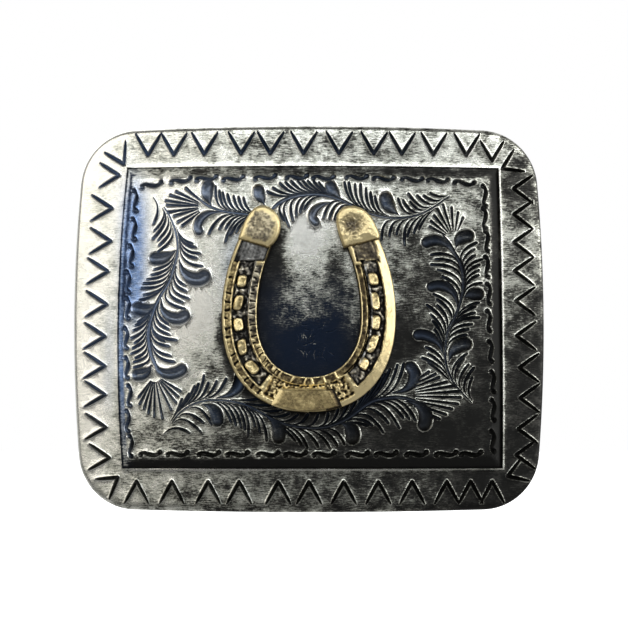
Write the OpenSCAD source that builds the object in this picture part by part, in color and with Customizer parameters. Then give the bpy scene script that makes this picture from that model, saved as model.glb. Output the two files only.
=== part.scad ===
// Rectangular western belt buckle: a bent sheet-metal face plate with a cast
// horseshoe riveted to its front, and a swinging wire bail and a fixed hook on
// its back.  Worn orientation: the front looks along -Y, +Z is up, +X is to the
// right of someone facing the front.  The origin is the middle of the plate's
// back face, where the belt lies.

/* [Face plate] */
// Width of the plate, measured straight across
plate_w = 86; // [80:1:92]
// Height of the plate
plate_h = 69.5; // [66:0.5:76]
// Thickness of the sheet
plate_t = 1.8; // [1.4:0.1:2.4]
// Radius that the back face is bent to, about a vertical axis
bend_r = 180; // [160:5:240]
// Radius of the four corners
corner_r = 10.5; // [8:0.5:13]
// Radius of the slight outward bow of the left and right edges
side_bow_r = 290; // [250:10:600]
// Radius of the slight outward bow of the top and bottom edges
top_bow_r = 1500; // [1000:100:3000]
// Distance from the plate's edge to the engraved frame line
frame_inset = 7.4; // [6:0.2:9]
// Width of the engraved frame line
frame_line_w = 2.1; // [1.2:0.1:2.6]
// Depth of the engraved frame line
frame_line_d = 0.45; // [0.2:0.05:0.7]

/* [Horseshoe] */
// Half of the horseshoe's greatest width
shoe_half_w = 15.5; // [14:0.5:17]
// Height from the widest point down to the toe
shoe_toe_h = 17.4; // [16:0.2:19]
// Squareness of the toe's curve (2 is a plain ellipse)
shoe_square = 2.25; // [2:0.05:2.6]
// Height from the widest point up to the heel pads
shoe_heel_h = 12.4; // [11:0.2:14]
// Width of the metal at the sides
shoe_web = 6.3; // [5:0.1:7]
// How far each branch closes in towards the heel
shoe_pinch = 2.5; // [1.5:0.1:3.5]
// Height of the widest point above the plate's centre
shoe_centre_z = 0.5; // [-1:0.1:2]
// Thickness of the casting
shoe_t = 2.3; // [1.8:0.1:3]
// How far the heel pads, toe grip and nail heads stand proud
shoe_relief = 0.7; // [0.3:0.1:1]
// Width of the crease that holds the nail heads
crease_w = 2.3; // [1.6:0.1:2.8]
// Depth of the crease
crease_d = 1.0; // [0.5:0.1:1.3]
// Nail heads in each branch
nails_per_branch = 5; // [3:1:6]

/* [Rivets] */
// Radius of the pegs cast on the horseshoe's back
peg_r = 1.1; // [0.8:0.1:1.5]
// Outer radius of the burr washer under each peened peg
burr_r = 2.3; // [1.8:0.1:2.8]
// Thickness of the burr washer
burr_t = 0.6; // [0.4:0.1:1]
// Height of the peened head
peen_h = 0.6; // [0.4:0.1:0.9]

/* [Bail] */
// Clear height inside the bail, for the strap
bail_clear_h = 40; // [38.5:0.5:42]
// Distance from the hinge axis to the strap bar
bail_reach = 20; // [18:0.5:21]
// Radius of the bail's wire
wire_r = 1.6; // [1.4:0.1:1.9]
// Centreline radius of the bail's corners
bail_corner_r = 4.2; // [3.4:0.2:6]
// Gap between the two wire ends inside the tube
bail_end_gap = 9; // [4:0.5:14]
// Distance of the hinge axis from the plate's centre line
hinge_x = 17.5; // [17:0.5:18]

/* [Hinge tube and base] */
// Length of the hinge tube
tube_l = 30; // [24:1:32]
// Outer radius of the hinge tube
tube_r = 2.6; // [2.4:0.1:3]
// Radial clearance of the wire in the tube
running_gap = 0.05; // [0.02:0.01:0.1]
// Width of the base strip
base_w = 9; // [7:0.5:9.5]
// Length of the base strip
base_l = 34; // [30:1:36]
// Thickness of the base strip
base_t = 1.2; // [0.8:0.1:1.6]
// How deep the tube is seated in the base strip
tube_seat = 0.5; // [0.2:0.1:0.7]

/* [Hook] */
// Distance of the hook from the plate's centre line
hook_x = 29.5; // [26:0.5:31]
// Radius of the hook's peg
hook_r = 2.2; // [1.9:0.1:2.5]
// Length of the peg from the base's outer face to its tip
hook_l = 7.5; // [6:0.5:9]
// Radius of the round hook base
hook_base_r = 5.2; // [4.5:0.1:6.5]
// Thickness of the round hook base
hook_base_t = 1.2; // [0.8:0.1:1.6]
// Radius of the tenon that holds the peg in its base
tenon_r = 1.5; // [1:0.1:1.7]

/* [Hidden] */
$fn = 96;
bend_fn = 256;
front_r = bend_r + plate_t;
deep = 40;
half_w = plate_w / 2;
half_h = plate_h / 2;
peg_gap = 0.03;
burr_lift = burr_r * burr_r / (2 * bend_r) + 0.005;
chamfer = 0.35;
// Pieces that sit in the plate's hollow are drawn this far into it, then cut to its curve.
sink = 1;
nickel_silver = [0.62, 0.60, 0.55];
yellow_brass = [0.80, 0.64, 0.30];

// Height of the plate's back face above the plane y = 0, at a distance x from the middle.
function back_y(x) = bend_r - sqrt(bend_r * bend_r - x * x);
// Slope of the plate's back face at x, in degrees.
function back_slope(x) = asin(x / bend_r);

// One of the two points that lie at distance r1 from c1 and r2 from c2: the one to the left of c1 -> c2.
function circles_meet(c1, r1, c2, r2) =
    let (d = norm(c2 - c1),
         along = (r1 * r1 - r2 * r2 + d * d) / (2 * d),
         across = sqrt(r1 * r1 - along * along),
         u = (c2 - c1) / d)
    c1 + along * u + across * [-u[1], u[0]];

// Points on an arc about c, from angle a0 to a1, in n steps.
function arc_points(c, r, a0, a1, n) =
    [for (i = [0 : n]) let (a = a0 + (a1 - a0) * i / n) c + r * [cos(a), sin(a)]];

// One quarter of the plate's outline: bowed side, round corner, bowed top.
side_c = [half_w - side_bow_r, 0];
top_c = [0, half_h - top_bow_r];
corner_c = circles_meet(side_c, side_bow_r - corner_r, top_c, top_bow_r - corner_r);
side_a = atan2(corner_c[1] - side_c[1], corner_c[0] - side_c[0]);
top_a = atan2(corner_c[1] - top_c[1], corner_c[0] - top_c[0]);
plate_quarter = concat(
    arc_points(side_c, side_bow_r, 0, side_a, 6),
    arc_points(corner_c, corner_r, side_a, top_a, 14),
    arc_points(top_c, top_bow_r, top_a, 90, 4));

// Mirrors a quarter outline, which runs from the +X axis to the +Z axis, into the whole one.
function reversed(pts) = [for (i = [len(pts) - 1 : -1 : 0]) pts[i]];
function distinct(pts) = [for (i = [0 : len(pts) - 1])
    if (norm(pts[i] - pts[(i + 1) % len(pts)]) > 0.001) pts[i]];
function whole_outline(q) = distinct(concat(
    q,
    [for (p = reversed(q)) [-p[0], p[1]]],
    [for (p = q) [-p[0], -p[1]]],
    [for (p = reversed(q)) [p[0], -p[1]]]));

// The axis of the bend is vertical, behind the plate.
module bend_cylinder(r) {
    translate([0, bend_r, -deep]) cylinder(r = r, h = 2 * deep, $fn = bend_fn);
}

// A flat X-Z shape raised from the plate's front: the layer between heights low and high above it.
module on_front(low, high) {
    intersection() {
        translate([0, deep / 2, 0]) rotate([90, 0, 0]) linear_extrude(height = deep) children();
        difference() {
            bend_cylinder(front_r + high);
            bend_cylinder(front_r + low);
        }
    }
}

module frame_line_shape() {
    outer = [plate_w - 2 * frame_inset, plate_h - 2 * frame_inset];
    difference() {
        square(outer, center = true);
        square(outer - 2 * [frame_line_w, frame_line_w], center = true);
    }
}

module face_plate() {
    color(nickel_silver) difference() {
        intersection() {
            translate([0, deep / 2, 0]) rotate([90, 0, 0])
                linear_extrude(height = deep) polygon(whole_outline(plate_quarter));
            difference() {
                bend_cylinder(front_r);
                bend_cylinder(bend_r);
            }
        }
        on_front(-frame_line_d, 1) frame_line_shape();
        for (p = peg_places)
            on_back(p) cylinder(r = peg_r + peg_gap, h = 3 * plate_t, center = true);
    }
}

// Horseshoe outlines, in the plate's X-Z plane.  A branch closes in above its widest point.
shoe_steps = 14;
function branch_x(half, t) = half - shoe_pinch * t * t;
function toe_curve(c) = c < 0.0001 ? 0 : pow(c, 2 / shoe_square);
function shoe_edge(half, toe_h) = concat(
    [for (i = [0 : shoe_steps]) let (t = 1 - i / shoe_steps)
        [branch_x(half, t), shoe_centre_z + shoe_heel_h * t]],
    [for (i = [1 : shoe_steps]) let (a = 90 * i / shoe_steps)
        [half * toe_curve(cos(a)), shoe_centre_z - toe_h * toe_curve(sin(a))]]);
function both_sides(edge) = concat(edge, [for (p = reversed(edge)) if (p[0] > 0.001) [-p[0], p[1]]]);

// The band between two edges that lie inset and inset + w inside the shoe's outer edge.
module shoe_band(inset, w) {
    out_half = shoe_half_w - inset;
    in_half = out_half - w;
    polygon(concat(
        both_sides(shoe_edge(out_half, shoe_toe_h - inset)),
        reversed(both_sides(shoe_edge(in_half, shoe_toe_h - inset - w)))));
}

heel_z = shoe_centre_z + shoe_heel_h;
pad_x = 9.5;
pad_w = 7.4;
pad_h = 7.6;
pad_tilt = 13;
pad_squareness = 0.8;

// One heel pad: a thumb shape with a straight foot, on the right branch.
module pad_shape() {
    translate([pad_x, heel_z - 0.2]) rotate(pad_tilt) polygon(
        [for (i = [0 : 24]) let (a = 180 * i / 24)
            [pad_w / 2 * cos(a), pad_h * pow(sin(a), pad_squareness)]]);
}

// The toe grip: the outer part of the toe between two sloping ends.
toe_grip_h = 4.2;
toe_grip_w = 8;
toe_grip_slope = 0.55;
module toe_grip_shape() {
    toe_z = shoe_centre_z - shoe_toe_h;
    foot_w = toe_grip_w + 2 * toe_grip_slope * 2 * toe_grip_h;
    intersection() {
        shoe_band(0.1, shoe_web);
        polygon([[-foot_w / 2, toe_z - toe_grip_h], [-toe_grip_w / 2, toe_z + toe_grip_h],
                 [toe_grip_w / 2, toe_z + toe_grip_h], [foot_w / 2, toe_z - toe_grip_h]]);
    }
}

crease_inset = (shoe_web - crease_w) / 2;
nail_l = 2.2;
nail_w = 1.5;
crease_top = heel_z - 2.5;
crease_low = shoe_centre_z - 12.4;

// Middle of the crease on the right branch, at a share s of its length from the heel.
function crease_mid(s) =
    let (z = crease_top - 1.6 - s * (crease_top - crease_low - 3.2),
         half = shoe_half_w - shoe_web / 2,
         toe_h = shoe_toe_h - shoe_web / 2,
         up = (z - shoe_centre_z) / shoe_heel_h,
         down = (shoe_centre_z - z) / toe_h)
    z > shoe_centre_z ? [branch_x(half, up), z]
        : [half * pow(1 - pow(down, shoe_square), 1 / shoe_square), z];
function crease_angle(s) =
    let (d = crease_mid(s + 0.01) - crease_mid(s - 0.01)) atan2(d[1], d[0]);

// Three pegs: one under each heel pad and one under the toe grip.
peg_places = [[-9, 15.2], [9, 15.2], [0, -13.6]];
// The peened head's rim stands this far inside the burr's edge.
peen_inset = 0.5;

// Places a child on the plate's back at [x, z], just clear of its hollow: its +Z is the inward normal.
module on_back(at) {
    translate([at[0], back_y(at[0]), at[1]]) rotate([0, 0, back_slope(at[0])])
        rotate([-90, 0, 0]) translate([0, 0, burr_lift]) children();
}

module horseshoe() {
    color(yellow_brass) union() {
        difference() {
            on_front(0, shoe_t) union() {
                shoe_band(0, shoe_web);
                pad_shape();
                mirror([1, 0]) pad_shape();
            }
            on_front(shoe_t - crease_d, shoe_t + 1) intersection() {
                shoe_band(crease_inset, crease_w);
                translate([-20, crease_low]) square([40, crease_top - crease_low]);
            }
        }
        on_front(shoe_t - 0.2, shoe_t + shoe_relief) union() {
            pad_shape();
            mirror([1, 0]) pad_shape();
        }
        on_front(shoe_t - 0.2, shoe_t + shoe_relief) toe_grip_shape();
        on_front(shoe_t - crease_d - 0.2, shoe_t + shoe_relief / 2)
            for (side = [-1, 1], i = [0 : nails_per_branch - 1]) {
                s = (i + 0.5) / nails_per_branch;
                translate([side * crease_mid(s)[0], crease_mid(s)[1]])
                    rotate(side * (crease_angle(s) - 90)) square([nail_w, nail_l], center = true);
            }
        for (p = peg_places)
            on_back(p) rotate_extrude() polygon([
                [0, -plate_t - sink], [peg_r, -plate_t - sink], [peg_r, burr_t],
                [burr_r - peen_inset, burr_t], [burr_r - 1.4 * peen_inset, burr_t + peen_h / 2],
                [peg_r, burr_t + peen_h], [0, burr_t + peen_h]]);
    }
}

module rivet_burrs() {
    color(yellow_brass) for (p = peg_places) on_back(p) difference() {
        cylinder(r = burr_r, h = burr_t);
        translate([0, 0, -1]) cylinder(r = peg_r + peg_gap, h = burr_t + 2);
    }
}

// Hinge axis: behind the base strip, with the tube seated in it.
hinge_y = back_y(hinge_x) + base_t + tube_r - tube_seat;
base_clip = 1.6;

module hinge_base() {
    color(nickel_silver) difference() {
        intersection() {
            translate([hinge_x, back_y(hinge_x), 0]) rotate([0, 0, back_slope(hinge_x)])
                translate([0, base_t, 0]) rotate([90, 0, 0]) linear_extrude(height = base_t + sink)
                    polygon(clipped_box(base_w, base_l, base_clip));
            bend_cylinder(bend_r);
        }
        translate([hinge_x, hinge_y, -deep]) cylinder(r = tube_r, h = 2 * deep);
    }
}

// A rectangle with clipped corners.
function clipped_box(w, h, c) = whole_outline([[w / 2, 0], [w / 2, h / 2 - c], [w / 2 - c, h / 2], [0, h / 2]]);

module hinge_tube() {
    bore = wire_r + running_gap;
    color(nickel_silver) translate([hinge_x, hinge_y, 0]) rotate_extrude() polygon([
        [bore, -tube_l / 2], [tube_r - chamfer, -tube_l / 2], [tube_r, -tube_l / 2 + chamfer],
        [tube_r, tube_l / 2 - chamfer], [tube_r - chamfer, tube_l / 2], [bore, tube_l / 2]]);
}

// The bail leans against the plate's back: its strap bar clears the plate by bail_rest_gap.
bail_rest_gap = 0.3;
bail_half_h = bail_clear_h / 2 + wire_r;
bail_lean = asin((back_y(hinge_x + bail_reach) + wire_r + bail_rest_gap - hinge_y) / bail_reach);

module wire(from, along, length) {
    translate(from) rotate(along) cylinder(r = wire_r, h = length);
}

module wire_corner(at, turn) {
    translate(at) rotate([90, 0, 0]) rotate([0, 0, turn])
        rotate_extrude(angle = 90) translate([bail_corner_r, 0]) circle(r = wire_r);
}

module bail() {
    arm = bail_reach - 2 * bail_corner_r;
    leg = bail_half_h - bail_corner_r;
    color(yellow_brass) translate([hinge_x, hinge_y, 0]) rotate([0, 0, bail_lean]) union() {
        for (side = [0, 1]) mirror([0, 0, side]) {
            wire([0, 0, bail_end_gap / 2], [0, 0, 0], leg - bail_end_gap / 2);
            wire_corner([bail_corner_r, 0, leg], 90);
            wire([bail_corner_r, 0, bail_half_h], [0, 90, 0], arm);
            wire_corner([bail_reach - bail_corner_r, 0, leg], 0);
        }
        wire([bail_reach, 0, -leg], [0, 0, 0], 2 * leg);
    }
}

// The hook's base is a disc cut to the plate's hollow, with a hole for the peg's tenon.
hook_place = [-hook_x, 0];

module hook_base() {
    color(nickel_silver) intersection() {
        on_back(hook_place) rotate_extrude() polygon([
            [tenon_r, -sink], [hook_base_r, -sink], [hook_base_r, hook_base_t - chamfer],
            [hook_base_r - chamfer, hook_base_t], [tenon_r, hook_base_t]]);
        bend_cylinder(bend_r);
    }
}

// A straight peg with a domed tip, and a shoulder that sits on the base.
module hook_peg() {
    tip = hook_base_t + hook_l - hook_r;
    color(yellow_brass) on_back(hook_place) rotate_extrude() polygon(concat(
        [[0, 0], [tenon_r, 0], [tenon_r, hook_base_t], [hook_r, hook_base_t]],
        arc_points([0, tip], hook_r, 0, 90, 10)));
}

face_plate();
horseshoe();
rivet_burrs();
hinge_base();
hinge_tube();
bail();
hook_base();
hook_peg();
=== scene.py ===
"""Western plate buckle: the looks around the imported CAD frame.

The engraved plate and the cast horseshoe are built here in fine mesh and replace their plain CAD nodes.  The bail,
hook, hinge and burrs keep their CAD shapes.  Lengths are in millimetres until a mesh is made.  The plate is laid
out flat: u runs to the right along its front face, v runs up, and h stands out from the face towards the viewer.
"""

import math

import bpy
import numpy as np
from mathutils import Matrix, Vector, noise
from mathutils.geometry import delaunay_2d_cdt


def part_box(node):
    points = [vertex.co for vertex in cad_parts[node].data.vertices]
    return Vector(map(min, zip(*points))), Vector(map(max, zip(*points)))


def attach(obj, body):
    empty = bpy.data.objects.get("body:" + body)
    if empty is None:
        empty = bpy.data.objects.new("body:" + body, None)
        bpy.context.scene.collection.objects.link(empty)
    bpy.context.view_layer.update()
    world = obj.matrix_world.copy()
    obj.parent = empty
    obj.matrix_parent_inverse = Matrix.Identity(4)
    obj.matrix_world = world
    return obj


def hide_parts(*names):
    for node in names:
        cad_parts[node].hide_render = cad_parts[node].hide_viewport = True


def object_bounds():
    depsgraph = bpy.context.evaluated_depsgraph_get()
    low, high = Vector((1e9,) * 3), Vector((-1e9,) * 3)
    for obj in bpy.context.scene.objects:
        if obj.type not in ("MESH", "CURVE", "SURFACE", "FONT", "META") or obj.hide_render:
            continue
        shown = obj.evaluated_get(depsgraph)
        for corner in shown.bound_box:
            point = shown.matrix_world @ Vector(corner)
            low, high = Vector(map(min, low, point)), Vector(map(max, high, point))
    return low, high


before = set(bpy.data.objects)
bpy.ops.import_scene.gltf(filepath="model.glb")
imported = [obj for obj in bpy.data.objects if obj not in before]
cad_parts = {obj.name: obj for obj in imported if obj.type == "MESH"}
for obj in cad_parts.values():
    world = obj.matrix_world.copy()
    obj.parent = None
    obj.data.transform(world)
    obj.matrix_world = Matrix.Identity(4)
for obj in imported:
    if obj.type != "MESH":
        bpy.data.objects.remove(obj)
cad_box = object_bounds()

MM = 0.001

# ---------------------------------------------------------------- the frame's sizes
plate_lo, plate_hi = (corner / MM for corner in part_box("face_plate"))
shoe_lo, shoe_hi = (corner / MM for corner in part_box("horseshoe"))
HALF_W, HALF_H = plate_hi.x, plate_hi.z
PLATE_T = -plate_lo.y
SAG = plate_hi.y
BACK_R = (HALF_W ** 2 + SAG ** 2) / (2 * SAG)
FRONT_R = BACK_R + PLATE_T
# Outline: the radii of its bowed sides, of its bowed top and bottom, and of its corners.
SIDE_BOW_R, TOP_BOW_R, CORNER_R = 290.0, 1500.0, 10.5

# Edge of the plate: the radius of its rounding, and the rings of vertices that follow it.
EDGE_R = 0.8
EDGE_RINGS = (0.0, 0.05, 0.2, 0.45, 0.8)
# The smaller rounding at the back, and the rings of the side wall down to it: (inset, height).
BACK_ROUND = 0.3
WALL_RINGS = ((0.0, -PLATE_T + BACK_ROUND), (0.09, -PLATE_T + 0.09))
# Triangulation: vertices closer than WELD are merged, and a cut of half-width over WIDE_CUT gets more rings.
WELD = 0.004
WIDE_CUT = 0.6

# Engraved frame line: its lower and upper edges.  Its sides bow outwards: furthest u, bow, and v of that place.
LINE_LOW, LINE_HIGH = -27.0, 27.5
LINE_LEFT, LINE_RIGHT = (-34.9, 0.0018, -3.0), (35.3, -0.0004, -10.0)
# Its width, depth, lip and steep outer wall, and how many times narrower it is on the left.
LINE_W, LINE_D, LINE_LIP = 2.1, 0.5, 0.07
LINE_WALL = 0.16
LEFT_NARROW = 1.5
LINE_RINGS = (-0.34, -0.17, 0.0, LINE_WALL, 0.7, 1.4, LINE_W, LINE_W + 0.4)

# Burr thrown up along each cut: its height and width.
BURR_H, BURR_W = 0.045, 0.2


def bent(points):
    """World positions in metres of (u, v, h) points on the bent plate."""
    p = np.asarray(points, float)
    angle = p[:, 0] / FRONT_R
    r = FRONT_R + p[:, 2]
    return np.column_stack((r * np.sin(angle), BACK_R - r * np.cos(angle), p[:, 1])) * MM


# ---------------------------------------------------------------- plate outline
def circles_meet(c1, r1, c2, r2):
    """The point at r1 from c1 and r2 from c2, to the left of the way from c1 to c2."""
    gap = c2 - c1
    d = math.hypot(*gap)
    along = (r1 * r1 - r2 * r2 + d * d) / (2 * d)
    across = math.sqrt(r1 * r1 - along * along)
    unit = gap / d
    return c1 + along * unit + across * np.array((-unit[1], unit[0]))


SIDE_C = np.array((HALF_W - SIDE_BOW_R, 0.0))
TOP_C = np.array((0.0, HALF_H - TOP_BOW_R))
CORNER_C = circles_meet(SIDE_C, SIDE_BOW_R - CORNER_R, TOP_C, TOP_BOW_R - CORNER_R)
SIDE_A = math.atan2(*(CORNER_C - SIDE_C)[::-1])
TOP_A = math.atan2(*(CORNER_C - TOP_C)[::-1])


def arc(centre, r, a0, a1, n):
    """n points on an arc from angle a0 to angle a1."""
    a = np.linspace(a0, a1, n)
    return np.column_stack((centre[0] + r * np.cos(a), centre[1] + r * np.sin(a)))


def to_flat(points):
    """Plate outline points (x, z) laid flat as (u, v)."""
    return np.column_stack((FRONT_R * np.arcsin(points[:, 0] / FRONT_R), points[:, 1]))


def plate_ring(inset):
    """Closed ring of (u, v) points that runs inset inside the plate's outline."""
    quarter = np.vstack((
        arc(SIDE_C, SIDE_BOW_R - inset, 0.0, SIDE_A, 26)[:-1],
        arc(CORNER_C, CORNER_R - inset, SIDE_A, TOP_A, 22)[:-1],
        arc(TOP_C, TOP_BOW_R - inset, TOP_A, math.pi / 2, 34)))
    left = quarter[::-1][1:] * (-1, 1)
    upper = np.vstack((quarter, left))
    lower = (upper * (1, -1))[::-1][1:-1]
    return to_flat(np.vstack((upper, lower)))


def edge_distance(uv):
    """How far each (u, v) point lies inside the plate's outline."""
    p = np.column_stack((FRONT_R * np.abs(np.sin(uv[:, 0] / FRONT_R)), np.abs(uv[:, 1])))
    side = SIDE_BOW_R - np.hypot(*(p - SIDE_C).T)
    top = TOP_BOW_R - np.hypot(*(p - TOP_C).T)
    out = p - CORNER_C
    angle = np.arctan2(out[:, 1], out[:, 0])
    corner = CORNER_R - np.hypot(*out.T)
    return np.where((angle > SIDE_A) & (angle < TOP_A), corner, np.minimum(side, top))


# ---------------------------------------------------------------- cuts
class Cut:
    """One engraved or stamped mark: a spine with a half-width at each point, and the shape of its floor."""

    def __init__(self, spine, half, slope=0.95, power=1.4, burr=1.0, bright=False, floor_highlight=0.0):
        """slope: depth over half-width.  power: how flat the floor is.  burr: height of the burr beside it.
        bright: a scratch through the blackening.  The last argument: how far the middle of the floor is painted pale
        at the plate's left, a painted highlight."""
        self.spine, self.half = np.asarray(spine, float), np.asarray(half, float)
        self.slope, self.power, self.burr, self.bright = slope, power, burr, bright
        self.pale = floor_highlight * np.interp(self.spine[:, 0].mean(), (-28, -12), (1.0, 0.0))

    def ring(self, share, extra=0.0, cap=4):
        """Closed outline at a share of the half-width, plus extra, with round ends."""
        way = np.gradient(self.spine, axis=0)
        way /= np.maximum(np.hypot(*way.T), 1e-9)[:, None]
        side = np.column_stack((-way[:, 1], way[:, 0]))
        reach = (self.half * share + extra)[:, None]
        ends = []
        for k, turn in ((-1, 1), (0, -1)):
            a = np.linspace(0, math.pi, cap + 2)[1:-1, None]
            ends.append(self.spine[k] + reach[k] * (turn * np.cos(a) * side[k] + turn * np.sin(a) * way[k]))
        return np.vstack((self.spine + reach * side, ends[0], (self.spine - reach * side)[::-1], ends[1]))

    def distance(self, p):
        """Distance of points p from the spine, and the half-width where each is nearest."""
        best, width = np.full(len(p), np.inf), np.zeros(len(p))
        for a, b, wa, wb in zip(self.spine[:-1], self.spine[1:], self.half[:-1], self.half[1:]):
            along = b - a
            t = np.clip(((p - a) @ along) / max(along @ along, 1e-12), 0, 1)
            d = np.hypot(*(p - a - t[:, None] * along).T)
            w = wa + (wb - wa) * t
            nearer = d - w < best - width
            best, width = np.where(nearer, d, best), np.where(nearer, w, width)
        return best, width


def curve(points, n):
    """n points along a smooth curve through the given points, evenly spaced."""
    p = np.asarray(points, float)
    p = np.vstack((2 * p[0] - p[1], p, 2 * p[-1] - p[-2]))
    t = np.linspace(0, 1, 9)[:-1, None]
    parts = []
    for a, b, c, d in zip(p[:-3], p[1:-2], p[2:-1], p[3:]):
        parts.append(0.5 * (2 * b + (c - a) * t + (2 * a - 5 * b + 4 * c - d) * t ** 2
                            + (3 * b - a - 3 * c + d) * t ** 3))
    fine = np.vstack(parts + [p[-2][None]])
    return resampled(fine, n)


def resampled(fine, n):
    """n evenly spaced points along a finely divided line."""
    run = np.concatenate(([0.0], np.cumsum(np.hypot(*np.diff(fine, axis=0).T))))
    at = np.linspace(0, run[-1], n)
    return np.column_stack([np.interp(at, run, fine[:, k]) for k in (0, 1)])


def comma(root, lead, tip, w0=0.08, w1=0.37, n=9):
    """Leaf stroke: leaves its root towards lead and swells to a round tip."""
    root, lead, tip = (np.asarray(q, float) for q in (root, lead, tip))
    t = np.linspace(0, 1, n)[:, None]
    spine = (1 - t) ** 2 * root + 2 * t * (1 - t) * lead + t ** 2 * tip
    half = w0 + (w1 - w0) * np.minimum(t[:, 0] * 1.15, 1) ** 1.05
    half[-1] *= 0.85
    return Cut(spine, half)


def frond(stem, start, end, tips, lead=0.45, w1=0.35, upstream=1.1):
    """Leaf strokes along a stem, one for each tip, rooted a little upstream of start to end mm along it."""
    fine = curve(stem, 200)
    run = np.linspace(0, np.hypot(*np.diff(fine, axis=0).T).sum(), len(fine))
    cuts = []
    for k, tip in enumerate(tips):
        at = max(start + (end - start) * k / max(len(tips) - 1, 1) - upstream, 0)
        root = np.array([np.interp(at, run, fine[:, c]) for c in (0, 1)])
        ahead = np.array([np.interp(at + 0.5, run, fine[:, c]) for c in (0, 1)])
        way = (ahead - root) / max(np.hypot(*(ahead - root)), 1e-6)
        out = np.asarray(tip) - root
        reach = np.hypot(*out)
        side = out - way * (out @ way)
        root = root + 0.35 * side / max(np.hypot(*side), 1e-6)
        cuts.append(comma(root, root + way * lead * reach, tip, w1=w1 * (0.94 + 0.12 * (k % 2))))
    return cuts


def stem_cut(stem, w0=0.12, w1=0.4):
    """The stem itself: a flat-bottomed groove that thickens as it grows."""
    spine = curve(stem, 3 * len(stem))
    half = w0 + (w1 - w0) * np.linspace(0, 1, len(spine)) ** 0.6
    half[-4:] *= (0.9, 0.75, 0.55, 0.3)
    return Cut(spine, half, slope=0.7, power=3.0)


def gouge(points, w):
    """Big scooped teardrop: thin at its first point and round at its last."""
    spine = curve(points, 14)
    t = np.linspace(0, 1, 14)
    half = 1.18 * w * np.clip(0.08 + 1.02 * np.sin(np.minimum(t * 1.12, 1.0) * math.pi / 2) ** 1.5, 0, 1)
    return Cut(spine, half, slope=0.6, power=2.0, burr=1.6, floor_highlight=0.64)


def fan(apex, start, tips, w1=0.34):
    """Straight strokes that spread from an apex and end at the tips."""
    apex = np.asarray(apex, float)
    cuts = []
    for tip in np.asarray(tips, float):
        way = (tip - apex) / np.hypot(*(tip - apex))
        spine = resampled(np.vstack((apex + way * start, tip)), 5)
        cuts.append(Cut(spine, np.interp((0, 1, 2, 3, 4), (0, 2, 4), (0.13, 0.26, w1))))
    return cuts


VEE_HALF = 0.39


def vee(apex, out, reach, spread):
    """Two stamped strokes that meet at an apex and open towards the direction out."""
    apex, out = np.asarray(apex, float), np.asarray(out, float)
    out /= np.hypot(*out)
    across = np.array((-out[1], out[0]))
    half = VEE_HALF * np.array((0.95, 1.05, 1.0, 0.95, 0.85, 0.5))
    ends = [apex + out * reach + across * side * spread for side in (-1, 1)]
    return [Cut(resampled(np.vstack((apex, end)), 6), half, slope=1.1) for end in ends]


# An S-stamp: a wave with a ball at each end, 4.2 mm long.
STAMP_WAVE = ((-1.9, -0.18), (-1.7, 0.12), (-1.1, 0.24), (-0.2, -0.06), (0.7, -0.22), (1.4, 0.02),
    (1.72, 0.36))
STAMP_HALF = (0.56, 0.36, 0.42, 0.5, 0.46, 0.34, 0.56)


def s_stamp(centre, angle):
    """One S-stamp round a centre, turned by an angle in degrees."""
    c, s = math.cos(math.radians(angle)), math.sin(math.radians(angle))
    spine = curve([(centre[0] + c * x - s * y, centre[1] + s * x + c * y) for x, y in STAMP_WAVE], 15)
    half = np.interp(np.linspace(0, 6, 15), range(7), STAMP_HALF)
    return Cut(spine, half, slope=0.95, floor_highlight=0.6)


# ---------------------------------------------------------------- the engraving's layout
def border_vees():
    """Chevrons round the border.  Each opens outwards from its apex."""
    top = (-29.4, -24.6, -19.0, -12.3, -7.0, -1.0, 5.4, 11.7, 16.8, 22.6, 28.7)
    bottom = (-31.2, -24.7, -18.1, -12.5, -5.5, 0.0, 6.2, 12.4, 18.5, 24.8, 29.2, 33.2)
    left = ((-36.1, 20.2), (-36.3, 14.2), (-36.8, 8.7), (-37.0, 2.7), (-37.3, -3.1), (-37.3, -8.5),
            (-37.2, -13.7), (-37.0, -19.6), (-36.3, -25.1))
    right = ((37.5, 23.8), (37.5, 19.1), (37.5, 14.0), (37.6, 8.8), (37.8, 3.3), (37.9, -3.0), (38.4, -8.8),
             (38.5, -14.3), (38.1, -19.9), (37.7, -24.6))
    corners = (((-33.9, 28.2), (-1.6, 3.15)), ((-34.8, 26.2), (-3.5, 0.1)), ((33.5, 28.8), (0.0, 2.7)),
               ((35.4, 27.4), (3.0, 1.5)), ((36.1, -28.4), (3.4, 1.2)), ((-34.7, -28.6), (-3.0, -2.2)))
    marks = [((u, 29.7), (0.02, 1), 3.9, 2.35) for u in top]
    marks += [((u, -29.3), (0, -1), 3.9, 2.2) for u in bottom]
    marks += [(apex, (-1, 0.04), 3.9, 2.35) for apex in left]
    marks += [(apex, (1, 0), 3.7, 2.55) for apex in right]
    marks += [(apex, out, 3.6, 2.2) for apex, out in corners]
    return [cut for mark in marks for cut in vee(*mark)]


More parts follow.
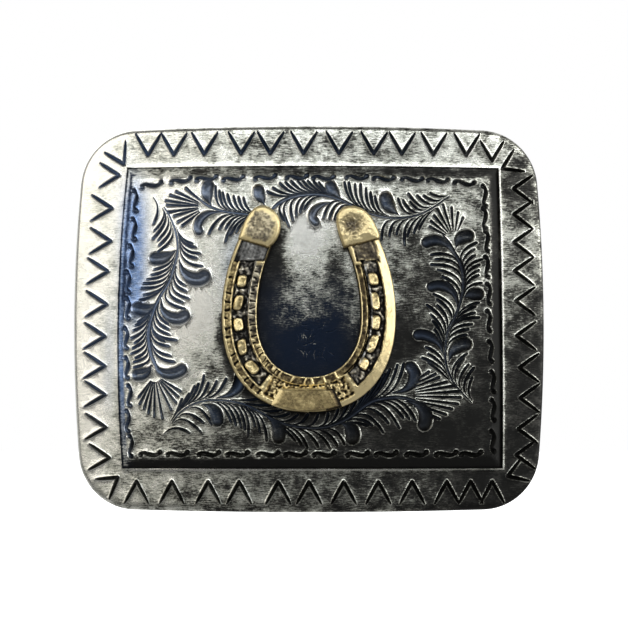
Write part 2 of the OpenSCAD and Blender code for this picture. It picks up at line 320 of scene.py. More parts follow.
def field_stamps():
    """S-stamps in a row along each side of the frame line."""
    top = ((-28.6, 24.3, 6), (-23.2, 25.0, 6), (-18.5, 25.3, 3), (-13.6, 25.2, 3), (-7.8, 25.4, 2), (-2.1,
        25.4, 0), (2.7, 25.3, -3), (8.7, 25.4, -3), (13.6, 25.2, -4), (18.8, 25.1, -5), (23.5, 25.0, -5),
        (28.4, 24.6, -6))
    bottom = (-28.6, -23.6, -17.9, -12.7, -7.2, -2.3, 2.8, 8.8, 13.9, 19.4, 24.8, 29.4)
    left = ((-31.7, 21.6), (-31.9, 16.4), (-32.4, 11.5), (-33.0, 6.8), (-33.0, 2.0), (-33.3, -3.4),
        (-33.1, -8.8), (-32.6, -13.8), (-32.9, -18.4), (-32.3, -22.9))
    right = ((32.1, 22.4), (32.1, 18.3), (32.5, 14.2), (32.5, 9.5), (32.8, 4.6), (32.8, -0.3), (33.1, -5.8),
             (33.5, -11.3), (33.5, -16.4), (33.4, -22.0))
    marks = [((u, v), angle) for u, v, angle in top] + [((u, -24.4), 0) for u in bottom]
    marks += [(place, 88) for place in left] + [(place, 90) for place in right]
    return [s_stamp(*mark) for mark in marks]


def left_scroll():
    """Scroll up the left of the panel."""
    stem = ((-26.3, 20.2), (-25.2, 18.4), (-24.3, 16.2), (-23.8, 13.6), (-23.9, 11.5), (-24.5, 9.2),
        (-25.4, 6.5), (-26.9, 4.2), (-28.1, 1.7), (-28.9, -1.0), (-29.1, -3.5), (-28.5, -6.7),
        (-27.4, -9.0), (-26.3, -10.6))
    cuts = [stem_cut(stem), comma((-28.3, 22.0), (-26.7, 20.2), (-28.3, 17.2), w1=0.32)]
    cuts += frond(stem, 0.3, 5.3, ((-28.1, 15.9), (-28.4, 14.5), (-27.4, 14.2), (-27.2, 13.3),
        (-27.4, 12.1)), 0.4)
    cuts += frond(stem, 10.0, 16.5, ((-28.1, 8.9), (-28.6, 7.9), (-29.4, 7.1), (-30.0, 6.4), (-30.4, 5.6),
                                     (-30.0, 4.3), (-30.8, 3.4)))
    cuts += frond(stem, 20.5, 29.3, ((-31.1, -0.6), (-31.5, -1.2), (-31.9, -2.1), (-32.3, -3.5),
        (-31.7, -4.4), (-32.0, -5.3), (-32.3, -6.3), (-31.5, -7.1), (-31.8, -7.8), (-31.8, -8.8)))
    cuts += frond(stem, 5.3, 8.6, ((-21.1, 13.5), (-20.6, 12.9), (-19.7, 11.7), (-20.4, 10.9),
        (-19.3, 9.4)), 0.6)
    cuts += frond(stem, 12.3, 16.5, ((-22.5, 6.0), (-22.3, 4.9), (-21.8, 3.6), (-22.9, 2.9),
        (-22.4, 1.7)), 0.6)
    cuts += frond(stem, 19.3, 22.8, ((-25.5, -1.0), (-25.5, -1.9), (-25.3, -2.9), (-24.0, -3.9)), 0.6)
    cuts += frond(stem, 23.2, 27.0, ((-26.2, -4.1), (-25.4, -5.0), (-25.1, -6.7), (-24.4, -7.8)), 0.6)
    cuts += [gouge(((-24.1, 12.3), (-25.6, 11.4), (-27.0, 10.9), (-28.0, 10.9)), 1.1),
        gouge(((-27.6, 2.9), (-28.9, 1.9), (-30.2, 1.6), (-31.1, 1.9)), 1.1), gouge(((-28.5, -8.3),
        (-29.2, -9.4), (-30.3, -10.0), (-31.2, -10.1)), 1.05), gouge(((-23.5, 10.6), (-22.8, 8.6),
        (-21.4, 7.3), (-19.9, 7.1), (-19.0, 7.6)), 1.2), gouge(((-26.8, 3.6), (-26.5, 1.6), (-25.2, 0.3),
        (-23.6, 0.0), (-22.6, 0.5)), 1.05), gouge(((-28.2, -7.0), (-27.3, -9.2), (-25.6, -10.0),
        (-23.9, -9.7), (-23.0, -9.2)), 1.0)]
    cuts += fan((-27.9, -10.2), 1.3, ((-30.9, -14.2), (-30.7, -15.4), (-29.9, -16.2), (-29.1, -17.1),
        (-28.0, -17.7), (-26.5, -18.0), (-24.9, -16.5), (-24.0, -15.2), (-23.7, -14.0), (-23.2, -13.1)))
    return cuts


def top_left_scroll():
    """Short scroll left of the horseshoe, along the top."""
    stem = ((-9.5, 18.6), (-12.6, 18.9), (-14.9, 19.2), (-16.8, 19.7), (-18.4, 20.5), (-19.7, 21.5),
        (-20.5, 22.3))
    cuts = [stem_cut(stem, w0=0.35, w1=0.22)]
    cuts += frond(stem, 1.2, 6.6, ((-11.8, 21.7), (-12.7, 21.8), (-13.6, 22.0), (-14.7, 22.3),
        (-15.6, 22.7), (-16.2, 23.0), (-16.9, 23.8)))
    cuts += frond(stem, 0.5, 5.4, ((-13.1, 15.5), (-14.2, 15.0), (-15.1, 13.8), (-15.0, 16.2),
        (-16.2, 16.1), (-18.1, 15.3)))
    cuts += [gouge(((-17.6, 20.3), (-18.2, 21.6), (-18.5, 23.0), (-18.3, 23.9)), 1.1),
             gouge(((-15.5, 19.2), (-18.0, 19.0), (-19.6, 18.0), (-20.2, 16.6), (-19.9, 15.8)), 0.75)]
    cuts += fan((-18.4, 20.2), 1.7, ((-22.3, 23.6), (-24.1, 23.0), (-25.2, 22.4), (-26.0, 21.4),
        (-25.8, 20.6), (-25.6, 19.3), (-24.5, 18.6), (-23.8, 17.5), (-23.0, 16.8)))
    return cuts


def top_scroll():
    """Long scroll along the top."""
    stem = ((25.6, 22.2), (24.6, 21.6), (23.3, 20.6), (21.5, 19.5), (19.7, 18.7), (17.5, 18.2),
        (15.0, 18.1), (12.4, 18.5), (9.9, 19.3), (7.8, 20.3), (6.0, 21.2), (3.8, 21.9), (1.6, 22.3),
        (-0.9, 22.2), (-3.4, 21.7), (-5.6, 20.6), (-7.2, 19.0))
    cuts = [stem_cut(stem)]
    cuts += frond(stem, 1.3, 8.6, ((22.0, 22.7), (20.8, 22.2), (19.6, 22.2), (18.0, 22.5), (18.3, 21.1),
                                   (17.0, 21.3), (16.1, 21.6)))
    cuts += frond(stem, 13.4, 19.2, ((11.9, 22.0), (11.1, 22.6), (10.3, 23.4), (9.3, 24.1), (8.3, 24.1),
                                     (7.2, 24.4), (6.4, 24.5)))
    cuts += frond(stem, 23.6, 31.5, ((1.8, 24.4), (0.9, 24.6), (-0.2, 24.7), (-1.1, 24.7), (-2.0, 24.7),
                                     (-3.2, 24.7), (-4.2, 24.5), (-5.2, 24.3), (-6.5, 23.5), (-7.5, 22.8)))
    cuts += frond(stem, 4.5, 12.6, ((19.9, 16.1), (19.0, 15.4), (17.8, 14.8), (17.3, 13.2), (15.8, 15.1),
                                    (14.5, 14.8), (13.1, 14.1)))
    cuts += frond(stem, 20.8, 22.8, ((4.6, 17.8), (3.7, 17.9), (2.6, 18.0)))
    cuts += frond(stem, 26.2, 33.6, ((-0.9, 19.6), (-1.6, 19.0), (-2.3, 18.4), (-2.9, 17.6), (-3.6, 16.5),
                                     (-4.5, 17.6)))
    cuts += [gouge(((16.2, 18.7), (15.0, 19.6), (14.2, 20.6), (13.9, 21.6)), 1.15),
             gouge(((5.8, 21.6), (4.8, 22.4), (4.1, 23.2), (3.9, 23.8)), 1.0),
             gouge(((-8.0, 20.4), (-8.5, 21.4), (-9.0, 22.3), (-9.1, 23.0)), 1.0),
             gouge(((4.2, 20.8), (2.4, 20.4), (1.0, 19.4), (0.6, 18.2), (1.2, 17.3)), 0.75)]
    return cuts


def right_scroll():
    """Scroll up the right of the panel."""
    stem = ((29.4, -15.1), (27.9, -13.6), (26.6, -12.2), (25.7, -10.8), (24.9, -8.7), (24.6, -6.7),
        (24.7, -5.0), (24.9, -3.3), (25.4, -1.5), (26.2, -0.2), (26.9, 1.4), (27.5, 3.2), (27.9, 5.0),
        (28.0, 6.9), (27.8, 8.8), (27.3, 10.4), (26.4, 11.9), (25.4, 13.6), (24.2, 15.2))
    cuts = [stem_cut(stem)]
    cuts += frond(stem, 1.2, 6.5, ((29.6, -10.6), (29.9, -8.9), (28.9, -8.3), (28.0, -7.3), (28.6, -6.3)))
    cuts += frond(stem, 12.4, 18.6, ((28.5, -2.9), (28.9, -1.9), (29.6, -1.0), (30.9, 0.2), (30.1, 1.1),
                                     (30.2, 2.2), (30.9, 2.9)))
    cuts += frond(stem, 22.8, 28.6, ((31.4, 6.5), (30.8, 7.9), (30.9, 8.8), (31.0, 9.8), (31.5, 10.8),
                                     (30.2, 11.5), (30.1, 12.6), (30.5, 13.8)))
    cuts += frond(stem, 5.4, 9.4, ((21.5, -8.0), (20.4, -7.1), (21.5, -6.4), (21.1, -5.2)))
    cuts += frond(stem, 11.4, 18.2, ((22.7, -2.0), (22.4, -0.5), (22.0, 0.7), (21.3, 2.4), (23.2, 2.4),
                                     (23.2, 3.4), (22.5, 4.4)))
    cuts += frond(stem, 20.5, 28.8, ((25.0, 6.6), (24.2, 7.6), (23.3, 8.8), (22.1, 9.7), (22.9, 10.7),
                                     (22.1, 11.5)))
    cuts += [gouge(((25.2, -7.8), (25.9, -6.0), (27.2, -4.9), (28.4, -4.6)), 1.15), gouge(((28.1, 3.9),
        (29.0, 4.3), (30.0, 4.5), (30.8, 4.5)), 1.05), gouge(((26.6, 12.7), (27.1, 14.0), (28.0, 14.8),
        (28.9, 15.0)), 1.15), gouge(((24.3, -6.6), (23.5, -4.6), (22.0, -3.4), (20.4, -2.9),
        (19.7, -3.0)), 0.9), gouge(((26.9, 2.0), (26.4, 4.2), (25.0, 5.6), (23.4, 6.0), (22.2, 5.7)),
        0.9), gouge(((26.3, 11.4), (25.2, 13.2), (23.6, 14.1), (22.1, 14.1), (21.3, 13.7)), 0.95)]
    cuts += fan((26.3, 14.3), 1.8, ((21.9, 16.6), (22.1, 17.6), (22.7, 18.6), (23.3, 19.8), (24.3, 20.6),
                                    (25.9, 20.1), (27.1, 19.2), (28.0, 18.3)))
    return cuts


def bottom_scroll():
    """Long scroll under the horseshoe."""
    stem = ((-24.6, -18.6), (-23.6, -17.3), (-22.4, -16.3), (-20.8, -15.4), (-18.7, -14.8),
        (-16.5, -14.7), (-14.0, -14.9), (-11.8, -15.4), (-9.7, -16.3), (-7.8, -17.4), (-5.7, -18.5),
        (-3.5, -19.2), (-1.1, -19.6), (1.4, -19.7), (3.6, -19.4), (5.8, -18.6), (7.9, -17.4),
        (9.7, -16.0), (11.5, -14.9), (13.6, -14.4), (15.8, -14.2), (18.0, -14.5), (20.2, -15.3))
    cuts = [stem_cut(stem), comma((-26.2, -20.7), (-24.2, -18.8), (-21.6, -20.6))]
    cuts += frond(stem, 0.8, 8.4, ((-22.9, -14.5), (-21.6, -13.6), (-20.6, -12.2), (-19.9, -11.8),
        (-18.9, -10.3), (-18.1, -11.6), (-16.6, -11.3), (-14.9, -10.9)))
    cuts += frond(stem, 13.0, 30.0, ((-7.5, -14.2), (-6.5, -15.5), (-5.0, -16.5), (-3.6, -17.1),
        (-2.0, -17.3), (-0.2, -17.3), (1.6, -17.3), (3.4, -17.1)))
    cuts += frond(stem, 31.0, 42.0, ((5.2, -16.3), (7.0, -15.0), (8.8, -13.4), (10.6, -11.3),
        (11.4, -10.5), (12.6, -10.7), (13.6, -10.0), (14.5, -9.2), (15.9, -8.4), (17.0, -8.2)))
    cuts += frond(stem, 0.0, 5.0, ((-19.4, -20.5), (-19.0, -18.8), (-17.5, -19.1)))
    cuts += frond(stem, 9.5, 17.0, ((-14.0, -18.6), (-13.1, -19.2), (-12.2, -19.5), (-11.5, -19.9),
        (-10.9, -21.1), (-9.7, -19.4), (-8.8, -20.5), (-7.6, -21.9)))
    cuts += frond(stem, 21.0, 31.0, ((-2.5, -21.9), (-1.4, -22.6), (-0.3, -23.2), (1.6, -23.0),
        (3.7, -23.2), (5.0, -22.8), (6.3, -22.6)))
    cuts += frond(stem, 33.5, 44.0, ((10.4, -19.3), (11.3, -19.2), (13.3, -20.5), (14.2, -18.8),
        (16.2, -19.7), (16.9, -17.9), (18.0, -18.1), (19.1, -18.3)))
    cuts += [gouge(((-16.6, -14.3), (-14.4, -13.8), (-12.9, -12.6), (-12.3, -11.0), (-12.3, -10.4)),
        0.95), gouge(((14.9, -13.4), (17.2, -12.9), (18.7, -11.5), (19.0, -9.8), (18.3, -8.8)), 1.0),
        gouge(((-19.2, -15.4), (-17.6, -16.0), (-16.7, -17.2), (-16.5, -18.3)), 1.1),
        gouge(((-7.4, -17.9), (-6.1, -18.8), (-5.4, -20.2), (-5.4, -21.3)), 1.15), gouge(((5.7, -18.9),
        (7.0, -19.4), (7.8, -20.5), (7.8, -21.4)), 1.2), gouge(((17.2, -14.9), (19.4, -15.4),
        (20.8, -16.8), (21.0, -18.4), (20.7, -19.1)), 1.1)]
    cuts += fan((14.8, -13.9), 4.5, ((21.6, -9.6), (22.8, -10.0), (23.5, -10.6), (24.9, -11.4),
        (26.3, -12.1), (27.2, -13.1), (27.4, -14.2), (26.9, -15.4), (25.8, -16.3), (24.7, -17.3),
        (23.5, -18.1)))
    return cuts


def scratches():
    """Fine bright scratches where the plate was rubbed inside the horseshoe."""
    rng = np.random.default_rng(5)
    half = np.array((0.015, 0.025, 0.03, 0.03, 0.025, 0.015))
    cuts = []
    for _ in range(26):
        at = rng.normal((0.8, -3.4), (1.7, 2.4))
        turn, long = rng.uniform(0, math.pi), rng.uniform(0.6, 2.2)
        way = np.array((math.cos(turn), math.sin(turn))) * long / 2
        bow = np.array((-way[1], way[0])) * rng.uniform(-0.5, 0.5)
        cuts.append(Cut(curve((at - way, at + bow, at + way), 6), half, slope=0.5, burr=0.1, bright=True))
    return cuts


# ---------------------------------------------------------------- the plate's surface
def edge_drop(d):
    """Height lost to the rounded edge at a distance d inside the outline."""
    inner = np.clip(1 - d / EDGE_R, 0, 1)
    return -EDGE_R * (1 - np.sqrt(np.maximum(1 - inner ** 2, 0)))


def line_sides(v):
    """The frame line's left and right outer edges at a height v."""
    return [u + bow * (v - middle) ** 2 for u, bow, middle in (LINE_LEFT, LINE_RIGHT)]


def line_distance(uv):
    """Distance inside the frame line's outer edge, stretched on the left, where the line is narrower."""
    left, right = line_sides(uv[:, 1])
    return np.minimum.reduce(((uv[:, 0] - left) * LEFT_NARROW, right - uv[:, 0],
                              uv[:, 1] - LINE_LOW, LINE_HIGH - uv[:, 1]))


def frame_line(uv):
    """Height of the engraved frame line: a lip, a steep outer wall and a long slope inwards."""
    e = line_distance(uv)
    brow = LINE_LIP * 0.8
    lip = np.interp(e, (-0.34, -0.1, 0.0), (0.0, LINE_LIP, brow))
    deep = LINE_D * np.interp(uv[:, 0], (-34, -31), (0.5, 1.0))
    groove = np.interp(e, (0.0, LINE_WALL), (brow, 0.0)) - deep * np.interp(e, (0.0, LINE_WALL, LINE_W),
        (0, 1, 0))
    return np.where(e < 0, lip, groove)


def line_ring(e, n_across=65, n_up=51):
    """Closed ring at a distance e inside the frame line's outer edge."""
    low, high = LINE_LOW + e, LINE_HIGH - e
    left, right = line_sides(np.array((low, high)))
    left, right = left + e / LEFT_NARROW, right - e
    across = np.linspace(0, 1, n_across + 1)[:-1]
    up = np.linspace(low, high, n_up + 1)[:-1]
    down = np.linspace(high, low, n_up + 1)[:-1]
    return np.vstack((
        np.column_stack((left[0] + (right[0] - left[0]) * across, np.full(n_across, low))),
        np.column_stack((line_sides(up)[1] - e, up)),
        np.column_stack((right[1] - (right[1] - left[1]) * across, np.full(n_across, high))),
        np.column_stack((line_sides(down)[0] + e / LEFT_NARROW, down))))


def cut_fields(uv, cuts):
    """At each point: the floor of the cut it is in (else infinity), the burr, the depth and the brightness."""
    floor = np.full(len(uv), np.inf)
    burr, depth, shine = np.zeros((3, len(uv)))
    for cut in cuts:
        reach = cut.half.max() + BURR_W
        lo, hi = cut.spine.min(0) - reach, cut.spine.max(0) + reach
        near = np.flatnonzero(((uv > lo) & (uv < hi)).all(1))
        d, w = cut.distance(uv[near])
        x = d / np.maximum(w, 1e-6)
        inside = x < 0.999
        hollow = (1 - np.minimum(x, 1) ** cut.power)
        rim = BURR_H * cut.burr
        level = rim - (rim + cut.slope * w) * hollow
        k = near[inside]
        floor[k] = np.minimum(floor[k], level[inside])
        if cut.bright:
            shine[k] = 1.0
        else:
            # At the plate's left, the middle of some floors counts as less deep, so it is painted pale: a painted
            # highlight.
            depth[k] = np.maximum(depth[k], hollow[inside] * (1 - cut.pale * hollow[inside] ** 5))
        raised = rim * np.clip(1 - (d - w) / BURR_W, 0, 1) ** 1.3
        k = near[~inside]
        burr[k] = np.maximum(burr[k], raised[~inside])
    return floor, burr, depth, shine


def relief(uv, cuts):
    """Height of the front at each point, how deep in a cut it lies, and how far it is a bright rim, 0 to 1: rubbed
    and given a painted highlight.
    """
    floor, burr, depth, shine = cut_fields(uv, cuts)
    in_cut = floor < np.inf
    height = edge_drop(edge_distance(uv)) + frame_line(uv) + np.where(in_cut, floor, burr)
    # The frame line's lip and the burrs beside the cuts are lightened: rubbed bright, with a painted highlight that
    # grows towards the right.
    lip = np.clip(1 - np.abs(line_distance(uv) + 0.08) / 0.3, 0, 1) * np.interp(uv[:, 0], (-33, -28),
        (0.2, 1.0))
    rim_highlight = np.interp(uv[:, 0], (-20, 25), (0.4, 0.75))
    rim = np.maximum(np.where(in_cut, 0.45 * shine, rim_highlight * burr / BURR_H * (1 - shine)), 1.8 * lip)
    return height, depth, rim


def linked(points, rings):
    """Adds closed rings to a point list, and returns their edges."""
    edges = []
    for ring in rings:
        first = len(points)
        points.extend(map(tuple, ring))
        count = len(ring)
        edges += [(first + k, first + (k + 1) % count) for k in range(count)]
    return edges


def triangulated(points, edges):
    """Triangulation through all points and edges: vertices, triangles, and each source point's vertex number."""
    found = delaunay_2d_cdt([Vector(p) for p in points], edges, [], 0, WELD)
    number = {source: k for k, sources in enumerate(found[3]) for source in sources}
    return np.array([tuple(p) for p in found[0]]), found[2], number


def engraved_front(cuts):
    """Flat triangulation that follows every cut: vertices (u, v), triangles, and the outline's vertex numbers."""
    points = []
    outline = plate_ring(0.0)
    edges = linked(points, [outline] + [plate_ring(inset) for inset in EDGE_RINGS[1:]])
    edges += linked(points, [line_ring(e) for e in LINE_RINGS])
    for cut in cuts:
        rings = [cut.ring(1.0), cut.ring(1.0, BURR_W)]
        if not cut.bright:
            rings += [cut.ring(0.55), cut.ring(1.0, 0.5 * BURR_W)]
        if cut.half.max() > WIDE_CUT:
            rings += [cut.ring(0.8, cap=7), cut.ring(0.28)]
        edges += linked(points, [ring for ring in rings if inside_plate(ring)])
        first = len(points)
        points.extend(map(tuple, cut.spine))
        edges += [(first + k, first + k + 1) for k in range(len(cut.spine) - 1)]
    points.extend(map(tuple, open_grid()))
    uv, triangles, number = triangulated(points, edges)
    return uv, triangles, [number[k] for k in range(len(outline))]


def inside_plate(ring):
    """Whether a whole ring lies on the plate, clear of its outline."""
    return edge_distance(ring).min() > 0.02


def open_grid(step=1.1):
    """Grid points for the plain ground, kept clear of the outline."""
    u, v = np.meshgrid(np.arange(-HALF_W - 1, HALF_W + 1, step), np.arange(-HALF_H, HALF_H, step * 0.87))
    u = u + (np.arange(len(v)) % 2)[:, None] * step / 2
    grid = np.column_stack((u.ravel(), v.ravel()))
    grid = grid[np.abs(grid[:, 0]) < HALF_W + 0.4]
    return grid[edge_distance(grid) > EDGE_RINGS[-1] + 0.3]


def plate_mesh(cuts):
    """The whole plate, with its engraved front, side wall and plain back.

    Returns its (u, v, h) points, its faces, and each point's depth in a cut and share of a bright rim, rubbed and
    given a painted highlight."""
    uv, faces, rim = engraved_front(cuts)
    height, depth, rubbed_and_highlit_rim = relief(uv, cuts)
    count, n = len(uv), len(rim)
    walls = [np.column_stack((plate_ring(inset), np.full(n, level))) for inset, level in WALL_RINGS]
    back_points = []
    back_edges = linked(back_points, [plate_ring(BACK_ROUND)])
    back_points.extend(map(tuple, back_grid()))
    back_uv, back_faces, number = triangulated(back_points, back_edges)
    back = np.column_stack((back_uv, np.full(len(back_uv), -PLATE_T)))
    uvh = np.vstack((np.column_stack((uv, height)), *walls, back))
    on_back = count + 2 * n
    polygons = [tuple(f) for f in faces]
    rows = [rim, range(count, count + n), range(count + n, on_back), [on_back + number[k] for k in
        range(n)]]
    for upper, lower in zip(rows[:-1], rows[1:]):
        polygons += [(upper[k], lower[k], lower[(k + 1) % n], upper[(k + 1) % n]) for k in range(n)]
    polygons += [tuple(on_back + k for k in reversed(f)) for f in back_faces]
    rest = np.zeros(len(uvh) - count)
    return uvh, polygons, np.concatenate((depth, rest)), np.concatenate((rubbed_and_highlit_rim, rest))


def back_grid(step=2.2):
    """Grid points for the plain back."""
    u, v = np.meshgrid(np.arange(-HALF_W, HALF_W, step), np.arange(-HALF_H, HALF_H, step))
    grid = np.column_stack((u.ravel(), v.ravel()))
    return grid[edge_distance(grid) > 1.2]


# Where the plate is painted darker (+) or brighter (-) than the even fall from upper left to lower right, for patina
# and for painted light and shade, such as a painted shadow inside the horseshoe's left branch and painted light at
# its top: (u, v, radius in u, radius in v, amount).
PATINA_AND_SHADE_SPOTS = ((0, -8, 9.5, 8, 0.85), (0, 15, 6, 6, -0.6), (-14.5, -2, 4, 8, -0.12), (22, 6, 7, 7, 0.2),
    (-21, 3, 7, 10, -0.25), (-27, 18, 8, 8, -0.15), (19, 13, 6, 6, 0.15), (18, -4, 5, 4, 0.35), (35, -30,
    9, 8, 0.2), (38, 12, 4, 14, -0.1), (-8, -22, 20, 3, 0.25), (24, -21, 12, 5, 0.25), (31, -8, 3, 16,
    0.2), (-40, 0, 4, 30, -0.2), (-25, 32, 10, 4, 0.15), (-8, 31, 8, 3, 0.28), (9, 31, 11, 3, 0.2), (28,
    31, 9, 4, -0.12), (-38.5, 19, 3, 6, 0.2), (-19, -8, 5, 4, 0.2), (-39, 32, 6, 6, -0.1), (12, -18, 8, 4,
    0.1), (-35, -31, 9, 5, -0.1), (-39, -17, 4, 12, -0.28), (-25, -8, 6, 6, -0.25), (40, -10, 4, 14, 0.2),
    (38.5, 24, 4.5, 5, 0.4), (-6.8, 7, 2.6, 9, 0.32), (4.8, 7, 3.0, 6.5, 0.28), (-1.5, 8.5, 3, 2.5, 0.08),
    (-2, 1, 4, 2.5, -0.1), (-5.5, 13, 2.0, 7, 0.45), (3.8, 11.5, 2.0, 3.5, 0.3), (-2.5, 6.5, 2.5, 2.5,
    0.1), (-21, 1, 3.5, 6, -0.22), (39, -22, 4, 8, -0.12), (-31, 31, 8, 3, 0.12))


def blob(uv, u, v, ru, rv, across=2, up=2):
    """Soft spot round (u, v) with radii ru and rv.  Higher powers across and up flatten its middle."""
    return np.exp(-((uv[:, 0] - u) / ru) ** across - ((uv[:, 1] - v) / rv) ** up)


def patina_and_shade_field(uv):
    """How dark the plate is painted at each point, 0 to 1: its blackening, with painted shade and light."""
    # Even fall from bright upper left to dark lower right: painted light and shade.
    dark = 0.5 + 0.006 * uv[:, 0] - 0.006 * uv[:, 1]
    for *place, amount in PATINA_AND_SHADE_SPOTS:
        dark += amount * blob(uv, *place)
    # Painted shadow beside the horseshoe: inside its left branch and toe, and outside its lower half.
    inner, outer = shoe_line(SHOE_WEB)[::4], shoe_line(0.0)[::4]
    near = near_share(uv, inner[inner[:, 0] < 6.0], 1.6) + near_share(uv, outer[outer[:, 1] < 0], 1.3)
    return np.clip(dark + 0.8 * near, 0, 1) + line_patina_and_shade(uv)


def back_field(uvh):
    """How tarnished the plate's back is: nearly clean, with a stain round each soldered fitting."""
    dark = np.full(len(uvh), 0.06)
    for part in ("hinge_base", "hook_base"):
        lo, hi = (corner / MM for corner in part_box(part))
        du = np.maximum(np.maximum(lo.x - uvh[:, 0], uvh[:, 0] - hi.x), 0)
        dv = np.maximum(np.maximum(lo.z - uvh[:, 1], uvh[:, 1] - hi.z), 0)
        dark += 0.3 * np.exp(-(du ** 2 + dv ** 2) / 9)
    return dark


def line_patina_and_shade(uv):
    """Blackening and painted shade in the frame line: darkest next to its steep wall, which stands in shade, and
    darker at the bottom; on the left a thin dark line there and one further in, painted shade.
    """
    e = line_distance(uv)
    on_left = (uv[:, 0] - line_sides(uv[:, 1])[0]) * LEFT_NARROW < e + 1e-6
    plain = np.interp(e, (-0.05, 0.06, 0.35, 0.8, 1.4, 2.0, 2.4), (0.0, 0.75, 0.7, 0.6, 0.5, 0.12, 0.0))
    plain = plain * np.interp(uv[:, 1], (-26, -20, 20, 26), (1.0, 0.8, 0.7, 0.75))
    outer = np.interp(e, (-0.1, 0.02, 0.14, 0.26), (0.0, 0.65, 0.65, 0.0))
    inner = np.interp(e, (0.85, 1.1, 1.9, 2.2), (0.0, 0.8, 0.75, 0.0)) * np.interp(uv[:, 1], (-4, 5),
        (0.0, 1.0))
    left = np.maximum(outer, inner)
    return np.where(on_left, left, plain)


def near_share(uv, line, reach):
    """1 beside a line of points, falling off over the reach."""
    share = np.zeros(len(uv))
    lo, hi = line.min(0) - 3 * reach, line.max(0) + 3 * reach
    close = np.flatnonzero(((uv[:, :2] > lo) & (uv[:, :2] < hi)).all(1))
    gap = np.hypot(uv[close, None, 0] - line[:, 0], uv[close, None, 1] - line[:, 1]).min(1)
    share[close] = np.exp(-(gap / reach) ** 2)
    return share


def sky_reflection_field(uv):
    """Where a blue sky reflection is painted on the bright ground, down the left side of the panel."""
    u, v = uv[:, 0], uv[:, 1]
    column = 1.3 * blob(uv, -31.9, 12, 2.4, 13, up=4)
    strip = 1.2 * between(u - line_sides(v)[0], 0.1, 1.1, 0.15) * np.exp(-((v - 2) / 23) ** 4)
    patch = blob(uv, -13, 8, 2.5, 8)
    border = blob(uv, -36.4, -7, 1.2, 10, up=4)
    return np.clip(np.maximum(column, strip) + 0.5 * patch + 0.3 * border, 0, 1)


def blue_reflection_field(uv, depth):
    """Where a blue reflection is painted on the blackening: in the cuts, inside the horseshoe and along the left
    frame line.
    """
    u, v = uv[:, 0], uv[:, 1]
    inside = blob(uv, 0, -3, 9, 10, across=4, up=4)
    bevel = np.exp(-((u + 33.8) / 1.3) ** 2) * (np.abs(v) < 27)
    share = np.interp(u, (-36, -20, 10, 35), (1.0, 0.8, 0.35, 0.0)) * np.interp(v, (-22, -8), (0.0, 1.0))
    return np.clip(inside + bevel * 0.6 + depth * share, 0, 1)


# ---------------------------------------------------------------- making objects
def add_attribute(mesh, name, values):
    """A number at each vertex, for the material to read."""
    layer = mesh.attributes.new(name, "FLOAT", "POINT")
    layer.data.foreach_set("value", np.asarray(values, np.float32))


def add_flat_coordinates(mesh, uvh):
    """Each vertex's (u, v, h), for the material to read."""
    layer = mesh.attributes.new("flat", "FLOAT_VECTOR", "POINT")
    layer.data.foreach_set("vector", np.asarray(uvh, np.float32).ravel())


def make_object(name, uvh, polygons, material, sharp):
    """A smooth-shaded object from flat (u, v, h) points, with edges sharper than an angle kept sharp."""
    mesh = bpy.data.meshes.new(name)
    mesh.from_pydata([tuple(p) for p in bent(uvh)], [], polygons)
    mesh.validate()
    mesh.polygons.foreach_set("use_smooth", [True] * len(mesh.polygons))
    mesh.set_sharp_from_angle(angle=math.radians(sharp))
    mesh.materials.append(material)
    made = bpy.data.objects.new(name, mesh)
    bpy.context.scene.collection.objects.link(made)
    return made


# ---------------------------------------------------------------- horseshoe
# Outline: half-width, toe, height of the bow's centre, length of a branch, how far its heel draws in, and how
# square the bow is (2 is an ellipse).
SHOE_HALF, SHOE_TOE = shoe_hi.x, -shoe_lo.z
SHOE_CZ, SHOE_HEEL, SHOE_PINCH, SHOE_SQUARE = 0.5, 12.4, 2.5, 2.25
# Width of its web, its thickness, how far the pads stand above that, and how far its foot is sunk in the plate.
SHOE_WEB, SHOE_T, SHOE_PROUD, SHOE_FOOT = 6.3, 2.3, 0.7, -0.05
# Nail crease: its depth, and the heights of its two ends.
CREASE_D = 0.85
CREASE_TOP, CREASE_LOW = 10.4, -11.2
# Bands across the web, from and to, in mm from its outer edge.
OUTER_STRIP, INNER_STRIP, ROUGH_TOE = (0.5, 1.55), (4.9, 6.05), (1.2, 4.8)
CREASE_LEFT, CREASE_RIGHT = (1.85, 4.5), (2.0, 4.8)
RECESS_LEFT, RECESS_RIGHT = (0.75, 6.1), (1.35, 5.5)
# How dark its side walls are painted at the foot: painted shade where they meet the plate.
WALL_SHADE = 0.7
# Heel pads: outlines from one end of the straight foot over the top to the other.
PAD_TOP = shoe_hi.z - 0.05
LEFT_PAD = ((-7.3, 12.4), (-6.2, 13.4), (-5.35, 14.9), (-5.05, 16.6), (-5.5, 18.2), (-6.7, 19.55),
    (-8.3, 20.1), (-9.9, 19.4), (-11.2, 17.6), (-12.0, 15.7), (-12.55, 14.05))
RIGHT_PAD = ((12.4, 14.0), (12.5, 14.8), (11.9, 16.4), (10.8, 18.3), (9.3, 19.6), (7.5, 20.05), (5.9, 19.6),
             (4.95, 18.4), (4.9, 17.0), (5.25, 15.2), (5.8, 13.5), (6.2, 12.4))


